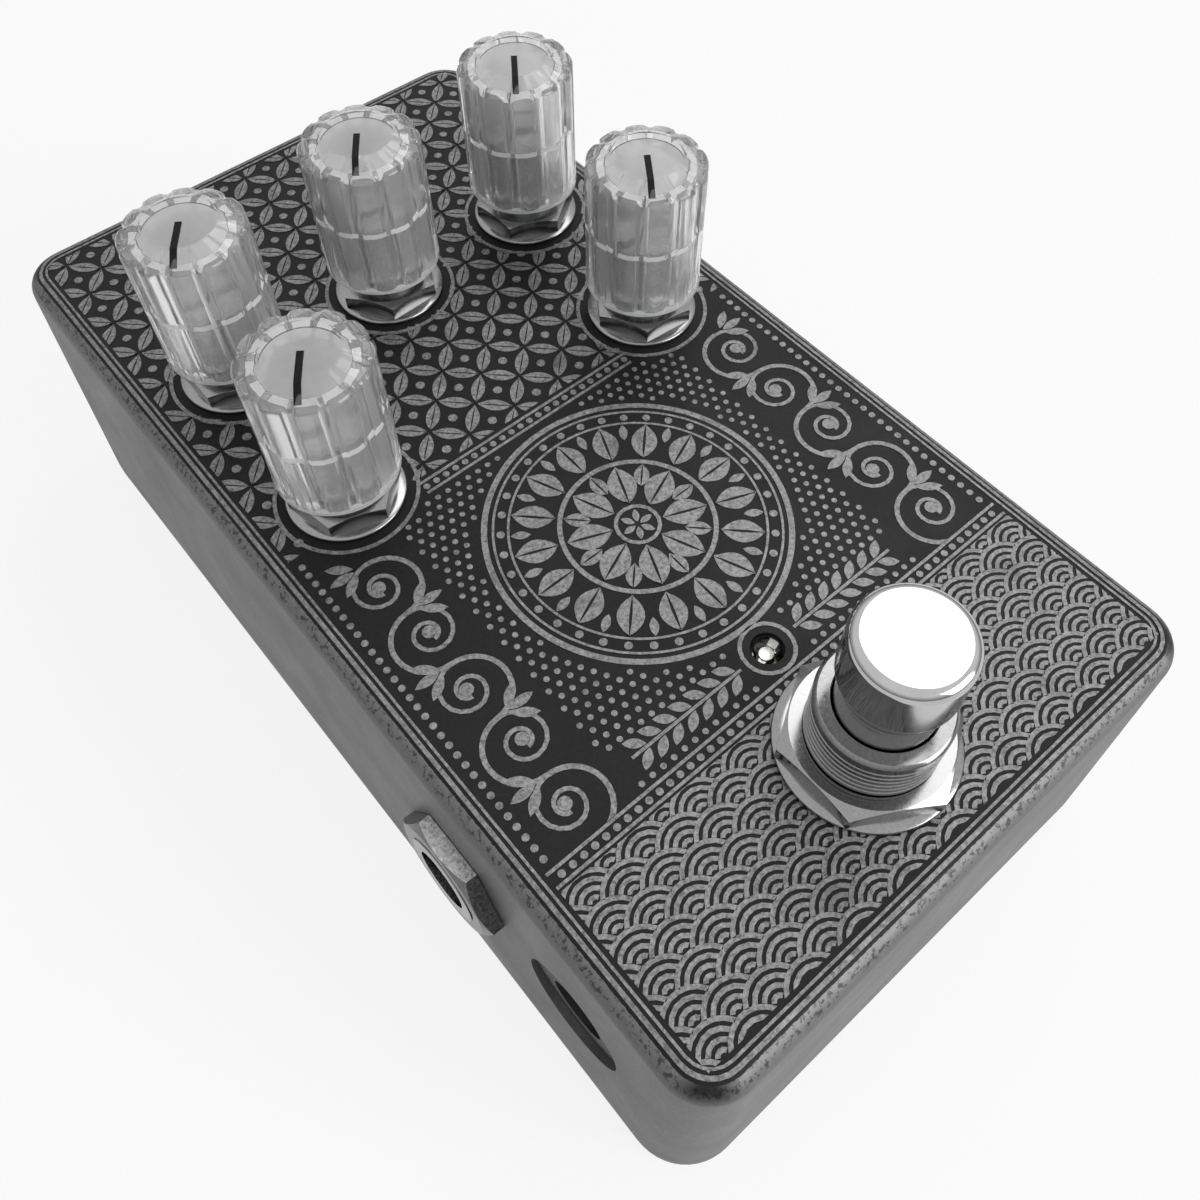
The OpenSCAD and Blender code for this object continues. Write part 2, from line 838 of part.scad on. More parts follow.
module chip() {
    translate([0, 0, chip_lift])
        block(-chip_w / 2, chip_w / 2, -chip_l / 2, chip_l / 2, 0, chip_h);
    for (side = [-1, 1], k = [-1.5:1.5])
        translate([0, k * leg_pitch, 0])
            chip_leg(side);
}

module chips() {
    color("black")
        for (side = [-1, 1])
            under_board(side * inner_x, part_row)
                chip();
}

module electrolytic_capacitor() {
    groove_z = 1.6;
    groove_w = 0.7;
    difference() {
        cylinder(r = can_r, h = can_h);
        translate([0, 0, groove_z])
            ring(can_r + past, can_r - can_groove, groove_w);
    }
}

module electrolytic_capacitors() {
    color("midnightblue") {
        for (side = [-1, 1])
            under_board(side * outer_x, part_row)
                electrolytic_capacitor();
        under_board(0, 2 * part_row)
            electrolytic_capacitor();
    }
}

module film_capacitors() {
    color("firebrick")
        for (x = [-outer_x, -inner_x, inner_x, outer_x], row = [0, 2 * part_row])
            under_board(x, row)
                block(-film_l / 2, film_l / 2, -film_t / 2, film_t / 2, 0, film_h);
}

module resistor() {
    lift = res_r + 0.2;
    translate([0, 0, lift])
        rotate([0, 90, 0]) {
            cylinder(r = res_r, h = res_l, center = true);
            cylinder(r = res_lead_r, h = 2 * res_reach, center = true);
        }
    for (side = [-1, 1])
        translate([side * (res_reach - res_lead_r), 0, 0])
            cylinder(r = res_lead_r, h = lift + res_lead_r);
}

module resistors() {
    first = 2 * part_row + film_t / 2 + res_row / 2 + res_r;
    color("burlywood")
        for (k = [-1.5:1.5], row = [0, 1])
            under_board(k * res_pitch, first + row * res_row)
                resistor();
}

// Footswitch

module footswitch_housing() {
    color("royalblue")
        at_footswitch()
            difference() {
                block(-fs_w / 2, fs_w / 2, -fs_d / 2, fs_d / 2, fs_floor_z, fs_body_z);
                translate([0, 0, fs_cavity_z])
                    cylinder(r = fs_cavity_r, h = fs_body_z - fs_cavity_z + past);
            }
}

module footswitch_bushing() {
    strap_w = 7;
    strap_t = 0.6;
    strap_l = 5;
    chamfer = 0.5;
    bush_h = fs_bush_z - fs_body_z;
    color("silver")
        at_footswitch()
            difference() {
                union() {
                    block(-fs_w / 2, fs_w / 2, -fs_d / 2, fs_d / 2, fs_body_z, fs_plate_z);
                    for (side = [-1, 1])
                        translate([side * (fs_w + strap_t) / 2, 0, 0])
                            block(-strap_t / 2, strap_t / 2, -strap_w / 2, strap_w / 2,
                                fs_body_z - strap_l, fs_plate_z);
                    translate([0, 0, fs_body_z])
                        rotate_extrude()
                            polygon([
                                [0, 0], [fs_bush_r, 0], [fs_bush_r, bush_h - chamfer],
                                [fs_bush_r - chamfer, bush_h], [0, bush_h]
                            ]);
                }
                translate([0, 0, fs_body_z - past])
                    cylinder(r = plunger_r + run_gap, h = bush_h + 2 * past);
            }
}

// Half outline of the plunger: collar, sliding stem, flare, head with a rounded top edge
function plunger_outline() = concat(
    [[0, collar_z], [collar_r, collar_z], [collar_r, collar_z + collar_t], [plunger_r, collar_z + collar_t]],
    [[plunger_r, fs_bush_z + plunger_travel + 0.3], [plunger_head_r, fs_bush_z + plunger_shoulder]],
    [
        for (a = [0:15:90])
            [
                plunger_head_r - plunger_edge_r + plunger_edge_r * cos(a),
                plunger_z - plunger_edge_r + plunger_edge_r * sin(a)
            ]
    ],
    [[0, plunger_z]]
);

module footswitch_plunger() {
    color("lightgray")
        at_footswitch()
            rotate_extrude()
                polygon(plunger_outline());
}

module footswitch_spring() {
    rings_per_turn = 12;
    z0 = fs_cavity_z + spring_wire_r + 0.2;
    z1 = collar_z - spring_wire_r - 0.2;
    steps = spring_turns * rings_per_turn;
    coil = [
        for (s = [0:steps])
            let (a = s * 360 / rings_per_turn)
            [spring_r * cos(a), spring_r * sin(a), z0 + (z1 - z0) * s / steps]
    ];
    color("gray")
        at_footswitch()
            tube(coil, spring_wire_r, 6, [0, 0, 1]);
}

module footswitch_nut() {
    color("silver")
        at_footswitch()
            translate([0, 0, case_h + fs_washer_t])
                rotate([0, 0, 30])
                    hex_nut(fs_nut_af, fs_nut_h, fs_bush_r + fit_gap);
}

module footswitch_washer() {
    color("gainsboro")
        at_footswitch()
            translate([0, 0, case_h])
                ring(fs_washer_r, fs_bush_r + hole_gap, fs_washer_t);
}

module footswitch_back_nut() {
    color("silver")
        at_footswitch()
            translate([0, 0, fs_plate_z + 0.2])
                hex_nut(fs_nut_af, fs_back_nut_h, fs_bush_r + fit_gap);
}

module footswitch_lock_washer() {
    teeth = 12;
    tooth_r = 0.6;
    color("gainsboro")
        at_footswitch()
            translate([0, 0, panel_in_z - fs_lock_t])
                difference() {
                    ring(fs_nut_af / 2 + 1.4, fs_bush_r + hole_gap, fs_lock_t);
                    for (k = [0:teeth - 1])
                        rotate([0, 0, k * 360 / teeth])
                            translate([fs_nut_af / 2 + 1.6, 0, -past])
                                cylinder(r = tooth_r, h = fs_lock_t + 2 * past);
                }
}

module at_lugs() {
    at_footswitch()
        for (kx = [-1:1], ky = [-1:1])
            translate([kx * lug_pitch, ky * lug_pitch, 0])
                children();
}

module footswitch_lugs() {
    color("silver")
        at_lugs()
            block(-lug_w / 2, lug_w / 2, -lug_t / 2, lug_t / 2, switch_board_z - pin_through, fs_floor_z);
}

// Power socket's legs: one behind the barrel and one at each side
module at_power_lugs() {
    at_x = -wall_x(dc_z);
    for (p = [[5, 0], [11.5, -3.4], [11.5, 3.4]])
        translate([at_x + p[0], dc_y + p[1], 0])
            children();
}

module at_lamp_leads() {
    for (side = [-1, 1])
        translate([0, led_y, 0])
            rotate([0, 0, led_turn])
                translate([side * led_lead_x, 0, 0])
                    children();
}

module switch_board() {
    wing_x = wall_x(switch_board_z) - wall_t - 1;
    half_x = fs_w / 2 + 3.4;
    slot_x = lug_w / 2 + hole_gap;
    slot_y = lug_t / 2 + hole_gap;
    color("darkgreen")
        difference() {
            union() {
                block(-half_x, half_x, board_front_y, board_back_y,
                    switch_board_z, switch_board_z + board_t);
                block(-wing_x, -half_x + thin, dc_y - dc_half, dc_y + dc_half,
                    switch_board_z, switch_board_z + board_t);
            }
            at_lugs()
                block(-slot_x, slot_x, -slot_y, slot_y,
                    switch_board_z - past, switch_board_z + board_t + past);
            at_power_lugs()
                translate([0, 0, switch_board_z - past])
                    cylinder(r = 0.9, h = board_t + 2 * past);
            at_lamp_leads()
                translate([0, 0, switch_board_z - past])
                    cylinder(r = led_lead_t * 0.75 + hole_gap, h = board_t + 2 * past);
        }
}

// Jacks

module jack_frame() {
    plate_w = 2 * jack_washer_r;
    difference() {
        union() {
            translate([0, 0, -jack_in])
                cylinder(r = jack_bush_r, h = jack_in + jack_out);
            block(-frame_drop, jack_washer_r, -plate_w / 2, plate_w / 2, -jack_in, -jack_in + frame_t);
            block(-frame_drop, -frame_drop + frame_t, -frame_arm_w / 2, frame_arm_w / 2,
                -frame_l, -jack_in + frame_t);
        }
        translate([0, 0, -jack_in - past])
            cylinder(r = plug_r, h = jack_in + jack_out + 2 * past);
    }
}

// Two insulating wafers riveted on the frame arm, with the tip spring between them
module jack_wafers() {
    stack_x = -frame_drop + frame_t;
    for (x = [stack_x, leaf_x + leaf_t])
        block(x, x + wafer_t, -frame_arm_w / 2, frame_arm_w / 2, -frame_l + 1, -frame_l + 1 + wafer_l);
}

// Leaf that bears on the plug's tip, with its solder lug towards the wall
function tip_spring_line() = [
    [leaf_x, -jack_in - 4],
    [leaf_x, -frame_l],
    [-plug_r + 0.6, -frame_l - 4.2],
    [-plug_r - 1.2, -frame_l - 6]
];

module jack_tip_spring() {
    line = tip_spring_line();
    back = [for (i = [len(line) - 1:-1:0]) [line[i][0] + leaf_t, line[i][1]]];
    translate([0, leaf_w / 2, 0])
        rotate([90, 0, 0])
            linear_extrude(leaf_w)
                polygon(concat(line, back));
}

module output_jack_frame() {
    color("silver")
        at_left_jack()
            jack_frame();
}

module input_jack_frame() {
    color("silver")
        at_right_jack()
            jack_frame();
}

module output_jack_wafers() {
    color("saddlebrown")
        at_left_jack()
            jack_wafers();
}

module input_jack_wafers() {
    color("saddlebrown")
        at_right_jack()
            jack_wafers();
}

module output_jack_tip_spring() {
    color("goldenrod")
        at_left_jack()
            jack_tip_spring();
}

module input_jack_tip_spring() {
    color("goldenrod")
        at_right_jack()
            jack_tip_spring();
}

module at_jacks() {
    at_left_jack()
        children();
    at_right_jack()
        children();
}

module jack_nuts() {
    color("silver")
        at_jacks()
            rotate([0, 0, 30])
                hex_nut(jack_nut_af, jack_nut_h, jack_bush_r + fit_gap);
}

module jack_washers() {
    color("gainsboro")
        at_jacks()
            translate([0, 0, -wall_t - jack_washer_t])
                ring(jack_washer_r, jack_bush_r + hole_gap, jack_washer_t);
}

// Power socket

dc_bore_z = -dc_depth + 2.4;

module power_socket() {
    box_z = -wall_t - 1.2;
    color("dimgray")
        at_power_socket()
            difference() {
                union() {
                    translate([0, 0, box_z - thin])
                        cylinder(r = dc_barrel_r, h = -dc_recess - box_z + thin);
                    block(-dc_half, dc_half, -dc_half, dc_half, -dc_depth, box_z);
                }
                translate([0, 0, dc_bore_z])
                    cylinder(r = dc_bore_r, h = -dc_bore_z + past);
            }
}

module power_socket_pin() {
    tip_z = -dc_recess - dc_pin_recess - dc_pin_r;
    color("silver")
        at_power_socket() {
            translate([0, 0, dc_bore_z])
                cylinder(r = dc_pin_r, h = tip_z - dc_bore_z);
            translate([0, 0, tip_z])
                sphere(r = dc_pin_r);
        }
}

module power_socket_lugs() {
    color("silver")
        at_power_lugs()
            block(-0.3, 0.3, -0.6, 0.6, switch_board_z - pin_through, dc_z - dc_half);
}

// Lamp

// Two leads: the cup for the chip stands on the one, and a bare post is the other
module lamp_frame() {
    top = case_h + led_up - led_r;
    arm = led_lead_t / 2;
    for (side = [-1, 1])
        translate([side * led_lead_x, 0, 0])
            block(-led_lead_t / 2, led_lead_t / 2, -led_lead_t / 2, led_lead_t / 2,
                switch_board_z - pin_through, top - 0.6 + thin);
    translate([0, 0, top - 0.6]) {
        cylinder(r = led_cup_r, h = 0.5);
        block(-led_lead_x - led_lead_t / 2, 0, -arm, arm, 0, 0.4);
        block(led_cup_r + 0.1, led_lead_x + led_lead_t / 2, -arm, arm, 0, 0.4);
    }
}

module lamp_lens() {
    foot = case_h + led_up - led_l;
    top = case_h + led_up - led_r;
    rim_h = panel_in_z - foot - 0.1;
    color("white")
        translate([0, led_y, 0])
            difference() {
                union() {
                    translate([0, 0, foot])
                        cylinder(r = led_r, h = top - foot);
                    translate([0, 0, top])
                        sphere(r = led_r);
                    translate([0, 0, foot])
                        cylinder(r = led_rim_r, h = rim_h);
                }
                rotate([0, 0, led_turn])
                    lamp_frame();
            }
}

module lamp_leads() {
    color("lightgray")
        translate([0, led_y, 0])
            rotate([0, 0, led_turn])
                lamp_frame();
}

// Hook-up wires

wire_sides = 8;

// A wire from the tip spring's lug over to the switch board's upper face
function tip_wire(side) =
    let (
        lug = jack_point(leaf_x + leaf_t, -leaf_w / 2 + wire_r, -jack_in - wire_from_wall),
        pad = [-fs_w / 2 - pad_in, board_back_y - pad_in, switch_board_z + board_t],
        start = lug + [0, 0, solder_gap]
    )
    [
        for (p = [
            start,
            start + wire_bend * [0, 0, 1.1],
            start + wire_bend * [1, -1.3, 1.6],
            [(start[0] + pad[0]) / 2, board_back_y - wire_bend * 0.3, pad[2] + wire_bend * 1.8],
            pad + wire_bend * [-0.8, 0, 1.7],
            pad + wire_bend * [0, 0, 1],
            pad
        ]) [side * p[0], p[1], p[2]]
    ];

// A wire from the end of the frame arm under to the switch board's lower face
function sleeve_wire(side) =
    let (
        arm = jack_point(-frame_drop, -frame_arm_w / 2 + arm_pad_in, -frame_l + arm_pad_in),
        pad = [-fs_w / 2 + low_pad_in, board_back_y - low_pad_in, switch_board_z],
        start = arm - [0, 0, solder_gap]
    )
    [
        for (p = [
            start,
            start - wire_bend * [0, 0, 0.6],
            start + wire_bend * [0.5, -0.7, -1],
            [pad[0] - wire_bend * 0.4, pad[1] + wire_bend * 0.5, start[2] - wire_bend],
            [pad[0], pad[1], start[2] - wire_bend / 2],
            pad
        ]) [side * p[0], p[1], p[2]]
    ];

module jack_wires() {
    color("crimson")
        for (side = [-1, 1])
            for (route = [tip_wire(-side), sleeve_wire(-side)])
                tube(smooth_path(route, 3), wire_r, wire_sides, [1, 0.3, 0.1]);
}

// Five wires side by side from the main board's front edge to the switch board
module link_wires() {
    low = cover_t + link_from_cover;
    start_y = main_board_y0 + low_pad_in;
    end_y = board_back_y - link_in;
    color("khaki")
        for (k = [-2:2])
            translate([k * link_pitch, 0, 0])
                tube(smooth_path([
                    [0, start_y, main_board_z],
                    [0, start_y, main_board_z - wire_bend * 2],
                    [0, start_y - wire_bend, low + wire_bend * 1.5],
                    [0, start_y - wire_bend * 4, low],
                    [0, end_y + wire_bend * 4, low],
                    [0, end_y, low + wire_bend * 0.75],
                    [0, end_y, switch_board_z]
                ], 4), wire_r, wire_sides, [1, 0, 0]);
}

// Every node is drawn by its own name

enclosure();
bottom_cover();
cover_screws();
for (i = [0:len(PLACES) - 1]) {
    knob(i);
    pot_shaft(i);
    pot(i);
}
pot_nuts();
pot_washers();
pot_terminals();
main_board();
chips();
electrolytic_capacitors();
film_capacitors();
resistors();
footswitch_housing();
footswitch_bushing();
footswitch_plunger();
footswitch_spring();
footswitch_nut();
footswitch_washer();
footswitch_back_nut();
footswitch_lock_washer();
footswitch_lugs();
switch_board();
output_jack_frame();
output_jack_wafers();
output_jack_tip_spring();
input_jack_frame();
input_jack_wafers();
input_jack_tip_spring();
jack_nuts();
jack_washers();
power_socket();
power_socket_pin();
power_socket_lugs();
lamp_lens();
lamp_leads();
jack_wires();
link_wires();
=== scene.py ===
import math

import bmesh
import bpy
from mathutils import Matrix, Vector


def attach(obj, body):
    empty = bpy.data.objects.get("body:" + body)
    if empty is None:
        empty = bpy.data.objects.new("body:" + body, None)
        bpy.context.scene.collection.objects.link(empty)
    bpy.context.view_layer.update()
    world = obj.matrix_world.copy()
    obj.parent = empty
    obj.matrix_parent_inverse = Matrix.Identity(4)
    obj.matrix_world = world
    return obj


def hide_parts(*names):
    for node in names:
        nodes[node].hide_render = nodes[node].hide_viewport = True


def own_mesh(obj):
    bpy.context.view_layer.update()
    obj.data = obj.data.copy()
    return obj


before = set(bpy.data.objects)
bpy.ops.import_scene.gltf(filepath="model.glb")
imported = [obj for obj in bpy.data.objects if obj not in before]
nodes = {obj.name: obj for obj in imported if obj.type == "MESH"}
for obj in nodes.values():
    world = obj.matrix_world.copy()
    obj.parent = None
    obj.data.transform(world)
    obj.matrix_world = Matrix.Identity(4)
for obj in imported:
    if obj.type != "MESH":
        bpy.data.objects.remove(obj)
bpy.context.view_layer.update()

# Case.
# A die-cast aluminium box, open below, with walls that lean in a little and a rounded top edge.
# It is drilled for the controls and sockets, and posts in its corners take the cover's screws.
MM = 0.001
case_w = 66 * MM
case_l = 121 * MM
case_h = 35.5 * MM
cover_t = 2.6 * MM
corner_r = 6.3 * MM
edge_r = 2.2 * MM
wall_t = 2.2 * MM
draft = 1.3 * MM
edge_run = draft + edge_r
edge_rise = case_h - edge_r - cover_t
wall_tilt = math.atan(edge_run / edge_rise) - math.asin(edge_r / math.hypot(edge_run, edge_rise))
top_lean = (case_h - cover_t) * math.tan(wall_tilt)
back_row_y = 27.5 * MM
front_row_y = 6.3 * MM
knob_dx = 19.8 * MM
knob_places = {
    "back_left": (-knob_dx, back_row_y),
    "back_middle": (0, back_row_y),
    "back_right": (knob_dx, back_row_y),
    "front_right": (knob_dx, front_row_y),
    "front_left": (-knob_dx, front_row_y),
}
switch_y = -45.9 * MM
lamp_y = -33.7 * MM
jack_y = -26.6 * MM
jack_z = 20 * MM
socket_y = -43.9 * MM
socket_z = 19.5 * MM
same_level = 0.01 * MM
same_place = 0.001 * MM


def cast_block(low, high, lean, edge_z, edge, steps):
    """A block of the case's outline: its top leans in all round, and the edge at one height is rounded."""
    block = bmesh.new()
    bmesh.ops.create_cube(block, size=1)
    bmesh.ops.scale(block, vec=(case_w, case_l, high - low), verts=block.verts)
    bmesh.ops.translate(block, vec=(0, 0, (low + high) / 2), verts=block.verts)
    uprights = [e for e in block.edges if abs(e.verts[0].co.z - e.verts[1].co.z) > MM]
    bmesh.ops.bevel(
        block, geom=uprights, offset=corner_r, segments=12, profile=0.5, affect="EDGES", material=-1)
    for v in block.verts:
        if v.co.z > (low + high) / 2:
            hub = Vector((
                math.copysign(case_w / 2 - corner_r, v.co.x),
                math.copysign(case_l / 2 - corner_r, v.co.y),
                v.co.z))
            v.co = hub + (v.co - hub) * (corner_r - lean) / corner_r
    rim = [e for e in block.edges if all(abs(v.co.z - edge_z) < same_level for v in e.verts)]
    bmesh.ops.bevel(
        block, geom=rim, offset=edge, segments=steps, profile=0.5, affect="EDGES", material=-1)
    bmesh.ops.recalc_face_normals(block, faces=block.faces)
    return block


top_edge = edge_r * math.tan((math.pi / 2 - wall_tilt) / 2)
shell = cast_block(cover_t, case_h, top_lean, case_h, top_edge, 8)
floor_faces = [f for f in shell.faces if f.normal.z < -0.9]
bmesh.ops.delete(shell, geom=floor_faces, context="FACES_ONLY")
bmesh.ops.solidify(shell, geom=shell.faces[:], thickness=wall_t)


def linear(code):
    shares = [int(code[i:i + 2], 16) / 255 for i in (1, 3, 5)]
    return [s / 12.92 if s <= 0.04045 else ((s + 0.055) / 1.055) ** 2.4 for s in shares] + [1]


in_colour = {"data_type": "RGBA"}


def feed(tree, node, inputs):
    for key, value in inputs.items():
        if isinstance(value, bpy.types.NodeSocket):
            tree.links.new(value, node.inputs[key])
        else:
            node.inputs[key].default_value = value


def add(tree, kind, settings, inputs):
    node = tree.nodes.new("ShaderNode" + kind)
    for key, value in settings.items():
        setattr(node, key, value)
    feed(tree, node, inputs)
    return node


def new_material(name):
    material = bpy.data.materials.new(name)
    material.use_nodes = True
    tree = material.node_tree
    shader = tree.nodes["Principled BSDF"]
    coords = add(tree, "TexCoord", {}, {})
    return material, tree, shader, coords.outputs["Object"]


# Aged die-cast aluminium: satin grey with fine grit and a top edge flecked dark; that edge is painted pale,
# partly wear and partly a painted highlight, and its rounded corners carry painted shade, near black.
# The etched field of the panel is a near-black sunk ground.
# Map Range takes a value, its range and a new range in turn; Mix takes a share at 0, colours at 6 and 7.
field_x = 30.4 * MM
field_y = 57.9 * MM
field_r = 3.7 * MM


def field_distance(tree, position):
    """Distance outside the field's rounded outline, depth into the corner beyond it, and height."""
    split = add(tree, "SeparateXYZ", {}, {0: position})
    over = []
    for socket, reach in ((split.outputs[0], field_x), (split.outputs[1], field_y)):
        size = add(tree, "Math", {"operation": "ABSOLUTE"}, {0: socket})
        over.append(add(tree, "Math", {"operation": "SUBTRACT"}, {
            0: size.outputs[0], 1: reach - field_r}))
    beyond = [add(tree, "Math", {"operation": "MAXIMUM"}, {0: o.outputs[0], 1: 0}) for o in over]
    squares = [add(tree, "Math", {"operation": "POWER"}, {0: b.outputs[0], 1: 2}) for b in beyond]
    total = add(tree, "Math", {}, {0: squares[0].outputs[0], 1: squares[1].outputs[0]})
    outer = add(tree, "Math", {"operation": "SQRT"}, {0: total.outputs[0]})
    larger = add(tree, "Math", {"operation": "MAXIMUM"}, {0: over[0].outputs[0], 1: over[1].outputs[0]})
    inner = add(tree, "Math", {"operation": "MINIMUM"}, {0: larger.outputs[0], 1: 0})
    both = add(tree, "Math", {}, {0: outer.outputs[0], 1: inner.outputs[0]})
    distance = add(tree, "Math", {"operation": "SUBTRACT"}, {0: both.outputs[0], 1: field_r})
    corner = add(tree, "Math", {"operation": "MINIMUM"}, {0: over[0].outputs[0], 1: over[1].outputs[0]})
    return distance.outputs[0], corner.outputs[0], split.outputs[2]


cast_metal, tree, shader, position = new_material("aged_die_cast_aluminium")
blotch_size = 9 * MM
fleck_size = 0.5 * MM
grit_size = 0.4 * MM
wear_and_sheen_from = case_h - 1.8 * MM
wear_and_sheen_full = case_h - 0.5 * MM
edge_line = case_h - 0.6 * MM
fleck_near = 0.2 * MM
fleck_far = 0.6 * MM
corner_shade_from = 0.4 * MM
corner_shade_full = 2.2 * MM
ragged_w = 0.2 * MM
grit_h = 0.04 * MM
blotch = add(tree, "TexNoise", {}, {
    "Vector": position, "Scale": 1 / blotch_size, "Detail": 6, "Roughness": 0.65})
fleck = add(tree, "TexNoise", {}, {
    "Vector": position, "Scale": 1 / fleck_size, "Detail": 4, "Roughness": 0.7})
grit = add(tree, "TexNoise", {}, {
    "Vector": position, "Scale": 1 / grit_size, "Detail": 3, "Roughness": 0.6})
skin = add(tree, "Mix", in_colour, {0: blotch.outputs["Fac"], 6: linear("#4a4a4a"), 7: linear("#6c6c6c")})
grit_share = add(tree, "MapRange", {}, {0: grit.outputs["Fac"], 1: 0.4, 2: 0.7, 3: 0, 4: 0.25})
gritty = add(tree, "Mix", in_colour, {0: grit_share.outputs[0], 6: skin.outputs[2], 7: linear("#8a8a8a")})
outside, corner, height = field_distance(tree, position)
# Painted highlight and wear: the top edge is mixed paler towards its crest.
on_edge = add(tree, "MapRange", {}, {0: height, 1: wear_and_sheen_from, 2: wear_and_sheen_full, 3: 0, 4: 0.7})
pale = add(tree, "Mix", in_colour, {0: on_edge.outputs[0], 6: gritty.outputs[2], 7: linear("#888888")})
flecks = add(tree, "MapRange", {}, {0: fleck.outputs["Fac"], 1: 0.52, 2: 0.58, 3: 0, 4: 0.7})
below_edge = add(tree, "Math", {"operation": "SUBTRACT"}, {0: height, 1: edge_line})
off_edge = add(tree, "Math", {"operation": "ABSOLUTE"}, {0: below_edge.outputs[0]})
fleck_band = add(tree, "MapRange", {}, {0: off_edge.outputs[0], 1: fleck_near, 2: fleck_far, 3: 1, 4: 0})
fleck_share = add(tree, "Math", {"operation": "MULTIPLY"}, {
    0: flecks.outputs[0], 1: fleck_band.outputs[0]})
flecked = add(tree, "Mix", in_colour, {
    0: fleck_share.outputs[0], 6: pale.outputs[2], 7: linear("#202020")})
# Painted shade: on the rounded corners of the top edge the colour is mixed near black.
in_corner = add(tree, "MapRange", {}, {0: corner, 1: corner_shade_from, 2: corner_shade_full, 3: 0, 4: 1.3})
corner_shade_share = add(tree, "Math", {"operation": "MULTIPLY"}, {
    0: in_corner.outputs[0], 1: on_edge.outputs[0]})
shaded_corners = add(tree, "Mix", in_colour, {
    0: corner_shade_share.outputs[0], 6: flecked.outputs[2], 7: linear("#161616")})
ragged = add(tree, "Math", {"operation": "MULTIPLY_ADD"}, {
    0: grit.outputs["Fac"], 1: ragged_w, 2: outside})
sunk = add(tree, "Math", {"operation": "LESS_THAN"}, {0: ragged.outputs[0], 1: ragged_w / 2})
on_panel = add(tree, "Math", {"operation": "GREATER_THAN"}, {0: height, 1: edge_line})
ground = add(tree, "Math", {"operation": "MULTIPLY"}, {0: sunk.outputs[0], 1: on_panel.outputs[0]})
ground_tone = add(tree, "Mix", in_colour, {
    0: grit.outputs["Fac"], 6: linear("#121212"), 7: linear("#262626")})
colour = add(tree, "Mix", in_colour, {
    0: ground.outputs[0], 6: shaded_corners.outputs[2], 7: ground_tone.outputs[2]})
metal = add(tree, "Math", {"operation": "MULTIPLY_ADD"}, {0: ground.outputs[0], 1: -0.3, 2: 0.4})
rough = add(tree, "MapRange", {}, {0: blotch.outputs["Fac"], 1: 0.3, 2: 0.7, 3: 0.4, 4: 0.55})
bump = add(tree, "Bump", {}, {"Height": grit.outputs["Fac"], "Strength": 0.2, "Distance": grit_h})
feed(tree, shader, {
    "Base Color": colour.outputs[2], "Metallic": metal.outputs[0], "Roughness": rough.outputs[0],
    "Normal": bump.outputs["Normal"], "Specular IOR Level": 0.2})


def new_object(name, data):
    made = bpy.data.objects.new(name, data)
    bpy.context.scene.collection.objects.link(made)
    return made


def make_piece(shape, name, body, material):
    mesh = bpy.data.meshes.new(name)
    shape.to_mesh(mesh)
    shape.free()
    mesh.materials.append(material)
    piece = new_object(name, mesh)
    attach(piece, body)
    return piece


case = make_piece(shell, "case_shell", "case", cast_metal)


def drill(cutter, place, direction, low_r, high_r, length):
    """Adds a drill to the cutter, centred on a place; a countersink has two radii."""
    turn = Vector((0, 0, 1)).rotation_difference(Vector(direction)).to_matrix().to_4x4()
    bmesh.ops.create_cone(
        cutter, cap_ends=True, segments=64, radius1=low_r, radius2=high_r, depth=length,
        matrix=Matrix.Translation(place) @ turn)


def apply_modifiers(piece):
    graph = bpy.context.evaluated_depsgraph_get()
    mesh = bpy.data.meshes.new_from_object(piece.evaluated_get(graph))
    piece.modifiers.clear()
    piece.data = mesh


def soften(piece, degrees):
    piece.data.shade_smooth()
    piece.data.set_sharp_from_angle(angle=math.radians(degrees))


def level_shading(piece):
    level = piece.modifiers.new("level_shading", "WEIGHTED_NORMAL")
    level.keep_sharp = True


def cut_holes(piece, cutter_shape):
    bmesh.ops.recalc_face_normals(cutter_shape, faces=cutter_shape.faces)
    cutter_mesh = bpy.data.meshes.new("drills")
    cutter_shape.to_mesh(cutter_mesh)
    cutter_shape.free()
    cutter = new_object("drills", cutter_mesh)
    drilling = piece.modifiers.new("drilling", "BOOLEAN")
    drilling.operation = "DIFFERENCE"
    drilling.object = cutter
    soften(piece, 40)
    level_shading(piece)
    apply_modifiers(piece)
    bpy.data.objects.remove(cutter)


def wall_x(z):
    return case_w / 2 - (z - cover_t) * math.tan(wall_tilt)


pot_hole_r = 3.65 * MM
switch_hole_r = 6.15 * MM
lamp_hole_r = 1.65 * MM
jack_hole_r = 4.9 * MM
socket_hole_r = 6 * MM
panel_drill = 12 * MM
wall_drill = 10 * MM
up = (0, 0, 1)
holes = bmesh.new()
for x, y in knob_places.values():
    drill(holes, (x, y, case_h), up, pot_hole_r, pot_hole_r, panel_drill)
drill(holes, (0, switch_y, case_h), up, switch_hole_r, switch_hole_r, panel_drill)
drill(holes, (0, lamp_y, case_h), up, lamp_hole_r, lamp_hole_r, panel_drill)
for side in (-1, 1):
    out = (side * math.cos(wall_tilt), 0, math.sin(wall_tilt))
    drill(holes, (side * wall_x(jack_z), jack_y, jack_z), out, jack_hole_r, jack_hole_r, wall_drill)
drill(
    holes, (-wall_x(socket_z), socket_y, socket_z), (-1, 0, 0), socket_hole_r, socket_hole_r, wall_drill)
cut_holes(case, holes)
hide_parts("enclosure")


def ring_outline(inner, outer, low, high, ease):
    """Half outline of a plain ring with eased edges."""
    return [
        (inner, low), (outer - ease, low), (outer, low + ease), (outer, high - ease),
        (outer - ease, high), (inner + ease, high), (inner, high - ease)]


